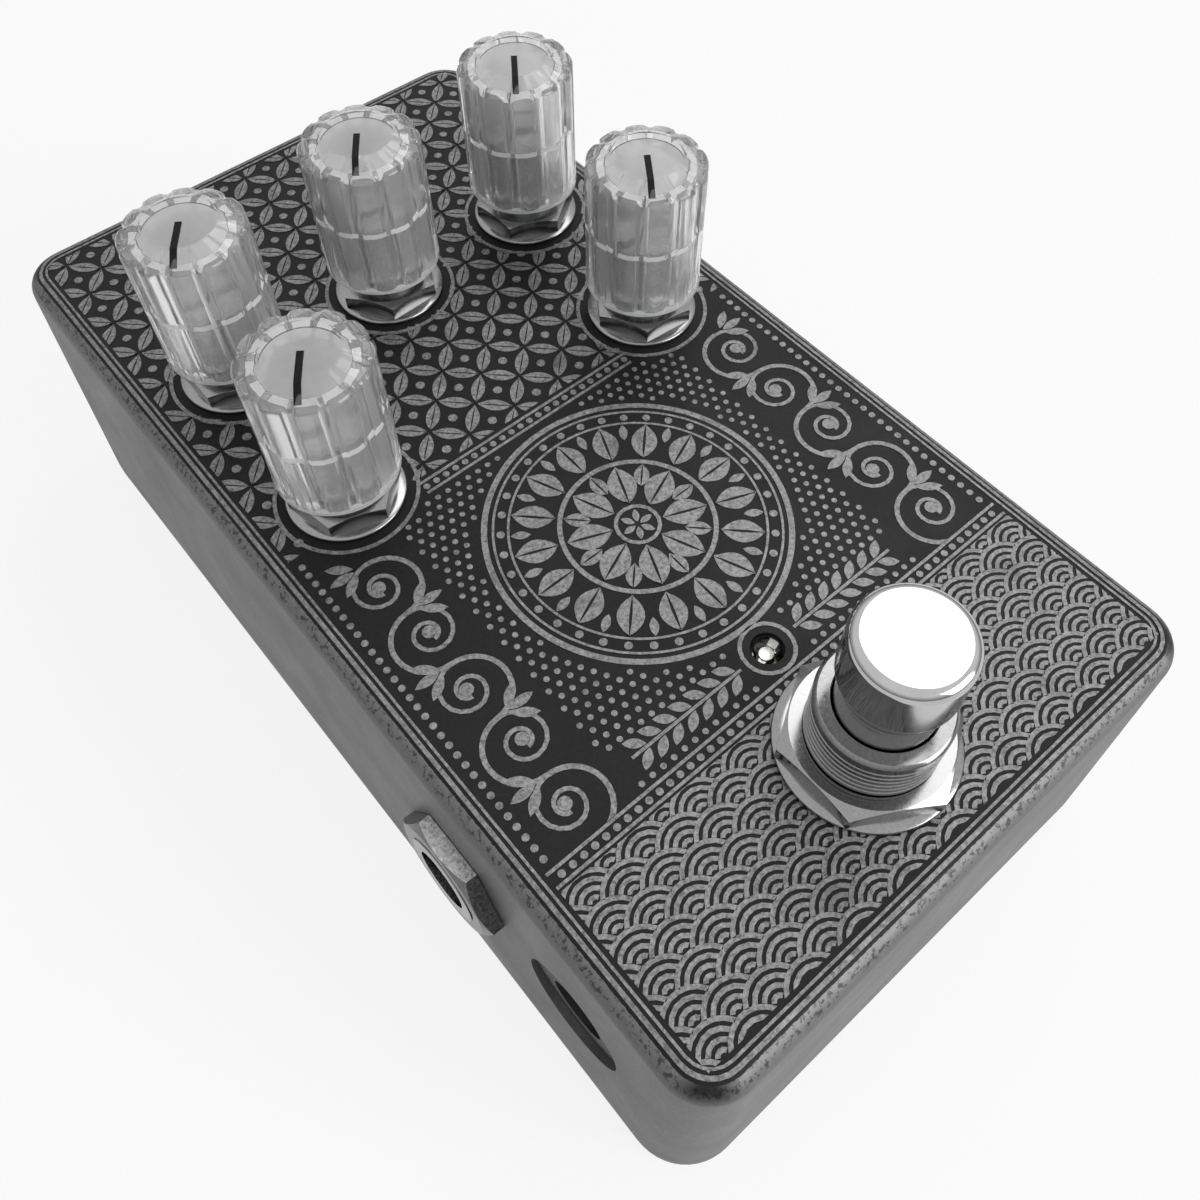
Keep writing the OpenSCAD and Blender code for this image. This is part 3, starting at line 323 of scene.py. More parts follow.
def turned(outline, place, closed):
    """A solid turned round a vertical axis from a half outline of radii and heights."""
    shape = bmesh.new()
    points = [shape.verts.new((radius, 0, z)) for radius, z in outline]
    ends = points[1:] + points[:1] if closed else points[1:]
    sides = [shape.edges.new(pair) for pair in zip(points, ends)]
    bmesh.ops.spin(
        shape, geom=points + sides, cent=(0, 0, 0), axis=up, dvec=(0, 0, 0),
        angle=2 * math.pi, steps=96, use_merge=True)
    bmesh.ops.remove_doubles(shape, verts=shape.verts, dist=same_place)
    bmesh.ops.recalc_face_normals(shape, faces=shape.faces)
    bmesh.ops.translate(shape, vec=(place[0], place[1], 0), verts=shape.verts)
    return shape


def join(pieces):
    whole = bmesh.new()
    for shape in pieces:
        mesh = bpy.data.meshes.new("joined")
        shape.to_mesh(mesh)
        shape.free()
        whole.from_mesh(mesh)
        bpy.data.meshes.remove(mesh)
    return whole


post_x = 27.5 * MM
post_y = 55 * MM
post_r = 3.4 * MM
post_bore_r = 1.45 * MM
post_top = 33.3 * MM
small_ease = 0.1 * MM
post_places = [(x * post_x, y * post_y) for x in (-1, 1) for y in (-1, 1)]
post_outline = ring_outline(post_bore_r, post_r, cover_t, post_top, small_ease)
posts = make_piece(
    join([turned(post_outline, place, True) for place in post_places]),
    "screw_posts", "case", cast_metal)
soften(posts, 40)

# Ornament of the panel.
# The aluminium that the etching left standing: a rose, running scrolls, waves and four-petal tracery.
# It stands a few hundredths of a millimetre above the blackened ground and is rubbed bright.
relief = 0.06 * MM
stroke = 0.42 * MM
border = 1.7 * MM
inner_x = field_x - border
inner_y = field_y - border
dial_r = 7 * MM
knob_axes = list(knob_places.values())
dial_gap = 0.6 * MM
ring_w = 0.4 * MM
arc_step = 0.8 * MM
bar_step = 0.4 * MM
lift_step = 0.004 * MM
lift_steps = 5


def lift(shape):
    """A tiny height that differs from stroke to stroke, so that no two crossing faces share a plane."""
    return len(shape.faces) % lift_steps * lift_step


def arc(shape, hub, radius, width, start, sweep):
    """A flat curved stroke, turned round its hub from a short edge at its start."""
    z = lift(shape)
    edge = [
        shape.verts.new((hub[0] + r * math.cos(start), hub[1] + r * math.sin(start), z))
        for r in (radius - width / 2, radius + width / 2)]
    steps = max(4, round(abs(sweep) * radius / arc_step))
    bmesh.ops.spin(
        shape, geom=edge + [shape.edges.new(edge)], cent=(hub[0], hub[1], 0), axis=up,
        dvec=(0, 0, 0), angle=sweep, steps=steps, use_merge=abs(sweep) > 1.9 * math.pi)


def ring(shape, hub, inner, outer):
    arc(shape, hub, (inner + outer) / 2, outer - inner, 0, 2 * math.pi)


def dot(shape, place, radius):
    bmesh.ops.create_circle(
        shape, cap_ends=True, radius=radius, segments=10,
        matrix=Matrix.Translation((*place, lift(shape))))


def aim(shape, start, end):
    """A frame at the middle of a line, with X along the line, and half the line's length."""
    run = Vector(end) - Vector(start)
    middle = (Vector(start) + Vector(end)) / 2
    turn = Matrix.Rotation(math.atan2(run.y, run.x), 4, "Z")
    return Matrix.Translation((*middle, lift(shape))) @ turn, run.length / 2


def bar(shape, start, end, width):
    """A flat straight stroke, cut into short lengths so that a part of it can be cleared."""
    place, half = aim(shape, start, end)
    pieces = max(1, round(half / bar_step))
    bmesh.ops.create_grid(
        shape, x_segments=pieces, y_segments=1, size=1,
        matrix=place @ Matrix.Diagonal((half, width / 2, 1, 1)))


def petal(shape, start, end, half_width, slit):
    """A pointed leaf between two points, with a dark slit along its middle where one is asked for."""
    place, half = aim(shape, start, end)
    for side in (-1, 1):
        made = bmesh.ops.create_grid(shape, x_segments=8, y_segments=1, size=1)
        for v in made["verts"]:
            along, across = v.co.x, (v.co.y + 1) / 2
            reach = slit / 2 + across * (half_width - slit / 2)
            v.co = place @ Vector((half * along, side * reach * (1 - along ** 2), 0))


def round_hub(hub, radius, angle):
    return hub[0] + radius * math.cos(angle), hub[1] + radius * math.sin(angle)


def turns(count, offset):
    """Angles that share a full turn evenly, moved on by a part of one step."""
    return [(k + offset) * 2 * math.pi / count for k in range(count)]


def spray(shape, foot, facing, spreads, low, high, half_width):
    """Leaves that fan out from one foot, each between two distances from it."""
    for spread in spreads:
        lean = math.radians(spread) + facing
        petal(shape, round_hub(foot, low, lean), round_hub(foot, high, lean), half_width, 0)


def clip(shape, low, high):
    """Cuts away what lies outside a rectangle."""
    for corner, side in ((low, -1), (high, 1)):
        for axis in (0, 1):
            normal = [0, 0, 0]
            normal[axis] = side
            bmesh.ops.bisect_plane(
                shape, geom=shape.verts[:] + shape.edges[:] + shape.faces[:], dist=same_place / 10,
                plane_co=(corner[0], corner[1], 0), plane_no=normal, clear_outer=True)


def clear_round(shape, hubs, radius):
    """Takes away the faces that lie near any of the hubs."""
    near = [
        f for f in shape.faces
        if any(math.dist(f.calc_center_median()[:2], hub) < radius for hub in hubs)]
    bmesh.ops.delete(shape, geom=near, context="FACES")


# Waves of overlapping fish scales fill the front of the panel, round the footswitch.
scale_r = 3 * MM
wave_rows = 14
wave_columns = 6
waves_back = -38.6 * MM
switch_clear_r = 8.2 * MM
waves = bmesh.new()
for row in range(wave_rows):
    for column in range(-wave_columns, wave_columns + 1):
        hub = ((2 * column + row % 2) * scale_r, -inner_y - scale_r / 2 + row * scale_r / 2)
        for share, lowest in ((1, 29.4), (0.75, 34.4), (0.5, 36.9), (0.25, 29.4)):
            first = math.radians(lowest)
            arc(waves, hub, share * scale_r - stroke / 2, stroke, first, math.pi - 2 * first)
clip(waves, (-inner_x, -inner_y), (inner_x, waves_back))
clear_round(waves, [(0, switch_y)], switch_clear_r)

# A rose of split petals in beaded rings fills the middle.
rose_hub = (0, -15.6 * MM)
rose_beads = 36
rose_beads_r = 13.57 * MM
rose_bead_r = 0.42 * MM
rose = bmesh.new()
for inner, outer in ((14.9, 15.5), (14.2, 14.45), (12.7, 12.95), (7.5, 8), (2, 2.4)):
    ring(rose, rose_hub, inner * MM, outer * MM)
for angle in turns(rose_beads, 0.5):
    dot(rose, round_hub(rose_hub, rose_beads_r, angle), rose_bead_r)
for count, offset, inner, outer, half_width, slit in (
        (16, 0, 8.2, 12.6, 1.35, 0.3), (16, 0.5, 10.6, 12.6, 0.45, 0),
        (8, 0.5, 2.6, 7.3, 1.5, 0.3), (8, 0, 4.6, 7.4, 0.8, 0.2), (6, 0, 0.3, 1.8, 0.35, 0)):
    for angle in turns(count, offset):
        petal(
            rose, round_hub(rose_hub, inner * MM, angle), round_hub(rose_hub, outer * MM, angle),
            half_width * MM, slit * MM)

# Running scrolls climb both sides: half rings joined end to end, each curling in to a bead.
scroll_x = 23.2 * MM
scroll_r = 3.5 * MM
scroll_low = -33.6 * MM
scrolls_front = -36.6 * MM
scrolls_back = 3 * MM
scroll_count = 5
curl = 0.8
curl_quarters = 6
leaf_inset = 0.6 * MM
scrolls = bmesh.new()
for side in (-1, 1):
    for wave in range(scroll_count):
        hub = Vector((side * scroll_x, scroll_low + wave * 2 * scroll_r))
        hand = side if wave % 2 else -side
        angle = -math.pi / 2
        radius = scroll_r
        arc(scrolls, hub, radius, stroke * 1.2, angle, hand * math.pi)
        angle += hand * math.pi
        for quarter in range(curl_quarters):
            tip = Vector(round_hub(hub, radius, angle))
            hub = tip + (hub - tip) * curl
            radius *= curl
            arc(scrolls, hub, radius, stroke, angle, hand * math.pi / 2)
            angle += hand * math.pi / 2
        dot(scrolls, hub, radius * 0.75)
        foot = (side * scroll_x - hand * leaf_inset, scroll_low + (wave + 0.5) * 2 * scroll_r)
        facing = math.pi if hand > 0 else 0
        spray(scrolls, foot, facing, (-35, 0, 35), 0.7 * MM, 3.4 * MM, 0.5 * MM)
clip(scrolls, (-inner_x, scrolls_front), (inner_x, scrolls_back))
clear_round(scrolls, knob_axes, dial_r + dial_gap)

# Laurel lies on both sides of the lamp, and beads close the middle in front, behind and at both sides.
line_w = 0.3 * MM
lamp_ring_r = 2.4 * MM
laurel_from = 3.4 * MM
laurel_to = 16.6 * MM
laurel_foot = 3.6 * MM
laurel_pitch = 1.8 * MM
laurel_pairs = 7
bands = bmesh.new()
lamp_hub = (0, lamp_y)
ring(bands, lamp_hub, lamp_ring_r, lamp_ring_r + ring_w)
for side in (-1, 1):
    bar(bands, (side * laurel_from, lamp_y), (side * laurel_to, lamp_y), line_w)
    for pair in range(laurel_pairs):
        foot = (side * (laurel_foot + pair * laurel_pitch), lamp_y)
        facing = math.pi if side < 0 else 0
        spray(bands, foot, facing, (-38, 38), 0.4 * MM, 2.6 * MM, 0.48 * MM)
bead_pitch = 1.2 * MM
bead_r = 0.36 * MM
band_w = 1.4 * MM
front_band_y = -38.2 * MM
back_band_y = 1 * MM
back_band_x = 13.6 * MM
for low, reach in ((front_band_y, inner_x), (back_band_y, back_band_x)):
    for line_y in (low, low + band_w):
        bar(bands, (-reach, line_y), (reach, line_y), line_w)
    beads = int(reach / bead_pitch)
    for k in range(-beads, beads + 1):
        dot(bands, (k * bead_pitch, low + band_w / 2), bead_r)
column_x = 28 * MM
column_low = -35.6 * MM
column_beads = 32
for side in (-1, 1):
    for k in range(column_beads):
        dot(bands, (side * column_x, column_low + k * bead_pitch), bead_r)
clear_round(bands, [(0, switch_y)], switch_clear_r)

# Pounced dots fill the ground that the rose, the scrolls and the laurel leave.
pounce = 1.25 * MM
pounce_r = 0.3 * MM
pounce_gap = 0.8 * MM
pounced_rows = 34
pounced_columns = 15
row_share = 0.87
pounced_x = 18.6 * MM
pounced_low = -36 * MM
pounced_back = 0.3 * MM
rose_clear_r = 16.1 * MM
laurel_clear = 1.9 * MM
lamp_clear_r = 3.4 * MM
pounced = bmesh.new()
for row in range(pounced_rows):
    for column in range(-pounced_columns, pounced_columns + 1):
        spot = ((column + 0.5 * (row % 2)) * pounce, pounced_low + row * pounce * row_share)
        free = abs(spot[0]) < pounced_x and math.dist(spot, rose_hub) > rose_clear_r
        off_laurel = abs(spot[1] - lamp_y) > laurel_clear and math.dist(spot, lamp_hub) > lamp_clear_r
        if free and off_laurel and spot[1] < pounced_back:
            dot(pounced, spot, pounce_r)
clear_round(pounced, knob_axes, dial_r + pounce_gap)

# Four-petal tracery with a bead in each eye fills the back, round the knobs.
tracery_pitch = 4.2 * MM
tracery_y = 28 * MM
tracery_reach = 30 * MM
eye_r = 0.5 * MM
leaf_half_w = 0.74 * MM
leaf_slit = 0.16 * MM
leaf_end = 0.06
knots = range(-13, 14)
tracery = bmesh.new()
slant = Matrix.Rotation(math.pi / 4, 2)
for i in knots:
    for j in knots:
        knot = slant @ (Vector((i, j)) * tracery_pitch) + Vector((0, tracery_y))
        if abs(knot.x) < tracery_reach and abs(knot.y - tracery_y) < tracery_reach:
            for step in (Vector((1, 0)), Vector((0, 1))):
                end = knot + slant @ (step * tracery_pitch)
                tips = [knot.lerp(end, share) for share in (leaf_end, 1 - leaf_end)]
                petal(tracery, *tips, leaf_half_w, leaf_slit)
            eye = knot + slant @ (Vector((0.5, 0.5)) * tracery_pitch)
            dot(tracery, eye, eye_r)
clip(tracery, (-inner_x, scrolls_back), (inner_x, inner_y))
clear_round(tracery, knob_axes, dial_r)

# A plain ring edges each knob's place, and two lines frame the whole field.
ring_lift = 0.02 * MM
rings = bmesh.new()
for hub in knob_axes:
    ring(rings, hub, dial_r, dial_r + ring_w)
bmesh.ops.translate(rings, vec=(0, 0, ring_lift), verts=rings.verts)
frame_lines = bmesh.new()
for inset, width in ((0.5 * MM, 0.4 * MM), (1.15 * MM, 0.25 * MM)):
    x = field_x - inset
    y = field_y - inset
    r = field_r - inset
    for side in (-1, 1):
        bar(frame_lines, (side * x, r - y), (side * x, y - r), width)
        bar(frame_lines, (r - x, side * y), (x - r, side * y), width)
        for end in (-1, 1):
            first = math.atan2(end, side) - math.pi / 4
            arc(frame_lines, (side * (x - r), end * (y - r)), r, width, first, math.pi / 2)

# Bare etched aluminium: dull mid-grey with a dark and pale speckle and patches where it has worn through.
bare_metal, tree, shader, position = new_material("bare_aluminium_etched")
speckle_size = 0.35 * MM
patch_size = 5 * MM
speckle = add(tree, "TexNoise", {}, {
    "Vector": position, "Scale": 1 / speckle_size, "Detail": 3, "Roughness": 0.7})
patch = add(tree, "TexNoise", {}, {
    "Vector": position, "Scale": 1 / patch_size, "Detail": 5, "Roughness": 0.65})
grain = add(tree, "MapRange", {}, {0: speckle.outputs["Fac"], 1: 0.3, 2: 0.7, 3: 0, 4: 1})
tone = add(tree, "Mix", in_colour, {0: grain.outputs[0], 6: linear("#545454"), 7: linear("#a8a8a8")})
fade = add(tree, "MapRange", {}, {0: patch.outputs["Fac"], 1: 0.55, 2: 0.75, 3: 0, 4: 0.6})
faded = add(tree, "Mix", in_colour, {0: fade.outputs[0], 6: tone.outputs[2], 7: linear("#4a4a4a")})
rough = add(tree, "MapRange", {}, {0: speckle.outputs["Fac"], 1: 0.3, 2: 0.7, 3: 0.4, 4: 0.6})
feed(tree, shader, {"Base Color": faded.outputs[2], "Roughness": rough.outputs[0], "Metallic": 0.6})

ornament = join([waves, rose, scrolls, bands, pounced, tracery, rings, frame_lines])
bmesh.ops.remove_doubles(ornament, verts=ornament.verts, dist=same_place)
downward = [f for f in ornament.faces if f.normal.z < 0]
bmesh.ops.reverse_faces(ornament, faces=downward)
# Near the panel's edge it bends down with the rounded edge of the case.
flat_hub_x = case_w / 2 - corner_r
flat_hub_y = case_l / 2 - corner_r
flat_r = corner_r - draft - edge_r
for v in ornament.verts:
    reach = math.hypot(max(abs(v.co.x) - flat_hub_x, 0), max(abs(v.co.y) - flat_hub_y, 0))
    beyond = max(reach - flat_r, 0)
    v.co.z += case_h + relief - edge_r + math.sqrt(edge_r ** 2 - beyond ** 2)
bmesh.ops.solidify(ornament, geom=ornament.faces[:], thickness=2 * relief)
make_piece(ornament, "panel_ornament", "case", bare_metal)


# Potentiometers.
# Zinc-plated steel cans with a threaded bushing through the panel, a split aluminium shaft and tinned legs.
# A flat washer and a hexagon nut, both nickel plated, clamp each one to the case.
def dress(names, material):
    """Gives the CAD's own meshes a material."""
    for name in names:
        mesh = nodes[name].data
        mesh.materials.clear()
        mesh.materials.append(material)


def finish(name, dark, light, grain_size, smooth, dull, metallic):
    """A material whose tone and gloss both wander with one grain."""
    material, tree, shader, position = new_material(name)
    grain = add(tree, "TexNoise", {}, {
        "Vector": position, "Scale": 1 / grain_size, "Detail": 4, "Roughness": 0.6})
    spread = add(tree, "MapRange", {}, {0: grain.outputs["Fac"], 1: 0.3, 2: 0.7, 3: 0, 4: 1})
    tone = add(tree, "Mix", in_colour, {0: spread.outputs[0], 6: linear(dark), 7: linear(light)})
    gloss = add(tree, "MapRange", {}, {0: spread.outputs[0], 1: 0, 2: 1, 3: smooth, 4: dull})
    bump = add(tree, "Bump", {}, {"Height": grain.outputs["Fac"], "Strength": 0.05, "Distance": grit_h})
    feed(tree, shader, {
        "Base Color": tone.outputs[2], "Roughness": gloss.outputs[0], "Normal": bump.outputs["Normal"],
        "Metallic": metallic})
    return material


# Zinc-plated sheet steel has a pale spangled grey; turned aluminium is whiter and finely lined.
zinc_plate = finish("zinc_plated_sheet_steel", "#8f9294", "#c2c5c6", 1.6 * MM, 0.25, 0.45, 1)
turned_aluminium = finish("turned_aluminium", "#b9babb", "#dededf", 0.3 * MM, 0.2, 0.38, 1)
# Hot tin on copper is bright, soft and a little uneven.
tinned_copper = finish("tinned_copper", "#a9aaa6", "#d6d6d0", 0.7 * MM, 0.18, 0.36, 1)
# Nickel plate on turned brass and steel is bright, with fine scratches from the tool.
nickel = finish("nickel_plate_turned", "#8e8e8e", "#9a9a9a", 0.3 * MM, 0.14, 0.22, 1)
dress(["pot_" + place for place in knob_places], zinc_plate)
dress(["pot_shaft_" + place for place in knob_places], turned_aluminium)
dress(["pot_terminals"], tinned_copper)
dress(["pot_nuts"], nickel)
washer_top = case_h + 0.6 * MM
pot_washer_bore_r = 3.55 * MM
pot_washer_r = 6.1 * MM
pot_washer = ring_outline(pot_washer_bore_r, pot_washer_r, case_h, washer_top, small_ease)
pot_washers = make_piece(
    join([turned(pot_washer, place, True) for place in knob_axes]),
    "pot_flat_washers", "case", nickel)
soften(pot_washers, 50)
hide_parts("pot_washers")

# Main board and its parts.
# A green glass-epoxy board under the potentiometers, with dual-in-line chips, can and film capacitors
# and small resistors soldered to it.
# Solder mask over woven glass is a glossy deep green, a little mottled by the copper beneath.
solder_mask = finish("solder_mask_green", "#0d3f24", "#1a5c37", 2.2 * MM, 0.22, 0.4, 0)
# Moulded epoxy is near black with a dull spark-eroded grain.
moulded_black = finish("moulded_black_epoxy", "#121212", "#232323", 0.25 * MM, 0.45, 0.65, 0)
# Shrunk sleeve is black and glossier than the mouldings.
sleeve_black = finish("shrunk_sleeve_black", "#101114", "#1e2024", 0.8 * MM, 0.25, 0.4, 0)
# Dipped lacquer runs thick and glossy.
dipped_red = finish("dipped_red_lacquer", "#6e140f", "#992319", 1.2 * MM, 0.12, 0.3, 0)
dipped_tan = finish("dipped_tan_lacquer", "#a98a5d", "#c9ab7c", 0.9 * MM, 0.25, 0.45, 0)
dress(["main_board"], solder_mask)
dress(["chips"], moulded_black)
dress(["electrolytic_capacitors"], sleeve_black)
dress(["film_capacitors"], dipped_red)
dress(["resistors"], dipped_tan)

# Footswitch.
# A threaded brass bushing on a steel plate, clamped through the panel by a nut and a flat washer.
# Below it a blue moulded housing holds the return spring and the solder lugs.
# Moulded nylon is an even satin blue, and drawn spring wire is grey with a dull shine.
moulded_blue = finish("moulded_blue_nylon", "#173a83", "#23509f", 0.5 * MM, 0.35, 0.55, 0)
spring_wire = finish("drawn_spring_steel", "#7c7e82", "#a9abae", 0.3 * MM, 0.22, 0.4, 1)
dress(["footswitch_housing"], moulded_blue)
dress(["footswitch_lugs"], tinned_copper)
dress(["footswitch_nut", "footswitch_back_nut", "footswitch_lock_washer"], nickel)
bush_r = 6 * MM
bush_bore = 4.5 * MM
bush_top = 44.2 * MM
bush_foot = 29.5 * MM
plate_top = 30.6 * MM
thread_pitch = 0.75 * MM
thread_depth = 0.2 * MM
thread_low = 38.6 * MM
threads = 6
neck_r = 5.7 * MM
bush_ease = 0.35 * MM
bush_outline = [
    (bush_bore, bush_foot), (bush_r, bush_foot), (bush_r, case_h), (neck_r, case_h + bush_r - neck_r),
    (neck_r, thread_low - small_ease), (bush_r, thread_low)]
for thread in range(threads):
    z = thread_low + thread * thread_pitch
    bush_outline.append((bush_r, z + 0.5 * thread_pitch))
    bush_outline.append((bush_r - thread_depth, z + 0.6 * thread_pitch))
    bush_outline.append((bush_r - thread_depth, z + 0.9 * thread_pitch))
    bush_outline.append((bush_r, z + thread_pitch))
bush_outline += [
    (bush_r, bush_top - bush_ease), (bush_r - bush_ease + small_ease, bush_top - small_ease / 2),
    (bush_r - bush_ease, bush_top), (bush_bore + small_ease, bush_top), (bush_bore, bush_top - small_ease)]
# The bushing's plating has tarnished to a darker grey.
tarnished = finish("nickel_plate_tarnished", "#767676", "#888888", 0.3 * MM, 0.14, 0.22, 1)
bushing = make_piece(
    turned(bush_outline, (0, switch_y), True), "switch_bushing", "case", tarnished)
soften(bushing, 25)
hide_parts("footswitch_bushing")
# Its plate has a tab folded down at each side, over the housing.
plate_half_x = 8.6 * MM
plate_half_y = 8.7 * MM
tab_x = 8.9 * MM
tab_half_t = 0.3 * MM
tab_half_y = 3.5 * MM
tab_low = 24.5 * MM
plate_shape = bmesh.new()
for x, half_x, half_y, low in (
        (0, plate_half_x, plate_half_y, bush_foot),
        (-tab_x, tab_half_t, tab_half_y, tab_low),
        (tab_x, tab_half_t, tab_half_y, tab_low)):
    sheet = bmesh.ops.create_cube(plate_shape, size=2)["verts"]
    bmesh.ops.scale(plate_shape, vec=(half_x, half_y, (plate_top - low) / 2), verts=sheet)
    bmesh.ops.translate(plate_shape, vec=(x, switch_y, (plate_top + low) / 2), verts=sheet)
plate = make_piece(plate_shape, "switch_plate", "case", zinc_plate)
plate_hole = bmesh.new()
drill(plate_hole, (0, switch_y, plate_top), up, bush_r, bush_r, panel_drill / 2)
cut_holes(plate, plate_hole)
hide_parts("footswitch_bushing")
switch_washer_r = 8.4 * MM
washer_outline = ring_outline(switch_hole_r, switch_washer_r, case_h, washer_top, small_ease)
switch_washer = make_piece(
    turned(washer_outline, (0, switch_y), True), "switch_flat_washer", "case", nickel)
soften(switch_washer, 50)
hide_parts("footswitch_washer")
# The return spring is a coil of drawn wire from the housing's floor to the plunger.
coil_r = 3.7 * MM
wire_r = 0.4 * MM
coil_turns = 5
coil_steps = 32 * coil_turns
coil_low = 20.1 * MM
coil_high = 27 * MM
coil = bmesh.new()
wire_end = Matrix.Translation((coil_r, switch_y, coil_low)) @ Matrix.Rotation(math.pi / 2, 4, "X")
bmesh.ops.create_circle(coil, cap_ends=True, radius=wire_r, segments=10, matrix=wire_end)
wound = bmesh.ops.spin(
    coil, geom=coil.verts[:] + coil.edges[:], cent=(0, switch_y, 0), axis=up,
    dvec=(0, 0, (coil_high - coil_low) / coil_steps), angle=2 * math.pi * coil_turns, steps=coil_steps)
bmesh.ops.edgeloop_fill(
    coil, edges=[part for part in wound["geom_last"] if isinstance(part, bmesh.types.BMEdge)])
bmesh.ops.recalc_face_normals(coil, faces=coil.faces)
spring = make_piece(coil, "return_spring", "case", spring_wire)
soften(spring, 50)
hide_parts("footswitch_spring")
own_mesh(spring)

# Plunger of the footswitch.
# Solid brass, turned with a flare from its stem to a wider head with a rounded top edge, and chrome plated.
# A collar on its lower end keeps it in the bushing, over the spring.
# Polished chrome plate mirrors the room, with hardly a trace of grain.
chrome = finish("polished_chrome_plate", "#b4b4b4", "#c0c0c0", 3 * MM, 0.1, 0.15, 1)
plunger_top = 55 * MM
plunger_edge = 1 * MM
stem_r = 4.4 * MM
head_r = 5.1 * MM
flare_low = 47 * MM
flare_high = 49.4 * MM
collar_r = 5.8 * MM
collar_low = 27.6 * MM
collar_high = 29.2 * MM
plunger_outline = [
    (0, collar_low), (collar_r, collar_low), (collar_r, collar_high),
    (stem_r, collar_high), (stem_r, flare_low)]
flare_steps = 8
quarter_steps = 9
for step in range(1, flare_steps + 1):
    share = step / flare_steps
    blend = share * share * (3 - 2 * share)
    plunger_outline.append((
        stem_r + blend * (head_r - stem_r), flare_low + share * (flare_high - flare_low)))
for step in range(quarter_steps + 1):
    angle = step * math.pi / 2 / quarter_steps
    plunger_outline.append((
        head_r - plunger_edge + plunger_edge * math.cos(angle),
        plunger_top - plunger_edge + plunger_edge * math.sin(angle)))
plunger_outline.append((0, plunger_top))
plunger = make_piece(
    turned(plunger_outline, (0, switch_y), False), "chrome_plunger", "plunger", chrome)
soften(plunger, 30)
level_shading(plunger)
apply_modifiers(plunger)
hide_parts("footswitch_plunger")

# Switch board and lamp.
# A small board carries the footswitch's lugs, the power socket and a 3 mm lamp of cast clear epoxy.
# The lamp's tinned frame, with its cup and post, shows through the dome.
dress(["switch_board"], solder_mask)
dress(["lamp_leads"], tinned_copper)
# Cast epoxy is clear and glossy, with a faint uneven haze.
clear_epoxy, tree, shader, position = new_material("cast_clear_epoxy")
haze_size = 1.5 * MM
haze = add(tree, "TexNoise", {}, {"Vector": position, "Scale": 1 / haze_size, "Detail": 3})
rough = add(tree, "MapRange", {}, {0: haze.outputs["Fac"], 1: 0.3, 2: 0.7, 3: 0.02, 4: 0.08})
feed(tree, shader, {
    "Roughness": rough.outputs[0], "Base Color": linear("#f4f4f2"), "Transmission Weight": 1, "IOR": 1.53})
lamp_foot = 30.8 * MM
lamp_flange_r = 1.9 * MM
lamp_flange_z = 33 * MM
lamp_r = 1.5 * MM
lamp_dome_z = 34.5 * MM
lamp_outline = [
    (0, lamp_foot), (lamp_flange_r, lamp_foot), (lamp_flange_r, lamp_flange_z), (lamp_r, lamp_flange_z),
    (lamp_r, lamp_dome_z)]
for step in range(1, quarter_steps + 1):
    angle = step * math.pi / 2 / quarter_steps
    lamp_outline.append((lamp_r * math.cos(angle), lamp_dome_z + lamp_r * math.sin(angle)))
lamp_outline[-1] = (0, lamp_dome_z + lamp_r)
lamp = make_piece(turned(lamp_outline, (0, lamp_y), False), "lamp_dome", "case", clear_epoxy)
soften(lamp, 40)
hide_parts("lamp_lens")

# Jacks.
# A threaded bushing riveted to a folded steel frame, with a bronze tip spring between phenolic wafers.
# A hexagon nut outside and a flat washer inside clamp each one in its wall.
# Nickel plate over a cut thread is a greyed bright metal; bump at the thread's pitch gives its ridges.
thread_nickel, tree, shader, position = new_material("nickel_plate_threaded")
jack_pitch = 0.79 * MM
jack_root_r = 4.4 * MM
groove_depth = 0.3 * MM
tarnish_size = 0.4 * MM
haze = add(tree, "TexNoise", {}, {"Vector": position, "Scale": 1 / tarnish_size, "Detail": 4})
tone = add(tree, "Mix", in_colour, {0: haze.outputs["Fac"], 6: linear("#6e6e6e"), 7: linear("#8c8c8c")})
rough = add(tree, "MapRange", {}, {0: haze.outputs["Fac"], 1: 0.3, 2: 0.7, 3: 0.18, 4: 0.34})
grooves = add(tree, "TexWave", {"bands_direction": "X"}, {
    "Vector": position, "Scale": math.pi / (10 * jack_pitch)})
flat = add(tree, "VectorMath", {"operation": "MULTIPLY"}, {0: position, 1: (0, 1, 1)})
from_axis = add(tree, "VectorMath", {"operation": "DISTANCE"}, {
    0: flat.outputs["Vector"], 1: (0, jack_y, jack_z)})
on_thread = add(tree, "Math", {"operation": "GREATER_THAN"}, {
    0: from_axis.outputs["Value"], 1: jack_root_r})
relief_share = add(tree, "Math", {"operation": "MULTIPLY"}, {
    0: on_thread.outputs[0], 1: grooves.outputs["Fac"]})
bump = add(tree, "Bump", {}, {
    "Height": relief_share.outputs[0], "Strength": 0.8, "Distance": groove_depth})
feed(tree, shader, {
    "Base Color": tone.outputs[2], "Roughness": rough.outputs[0], "Normal": bump.outputs["Normal"],
    "Metallic": 1})
# Phenolic sheet is brown with a fibrous mottle; rolled bronze is yellow and faintly streaked.
phenolic = finish("phenolic_sheet_brown", "#4a2c17", "#6b4427", 0.6 * MM, 0.4, 0.6, 0)
bronze = finish("rolled_bronze", "#b08d44", "#d2b265", 0.5 * MM, 0.2, 0.4, 1)
for jack in ("output_jack", "input_jack"):
    dress([jack + "_frame"], thread_nickel)
    dress([jack + "_wafers"], phenolic)
    dress([jack + "_tip_spring"], bronze)
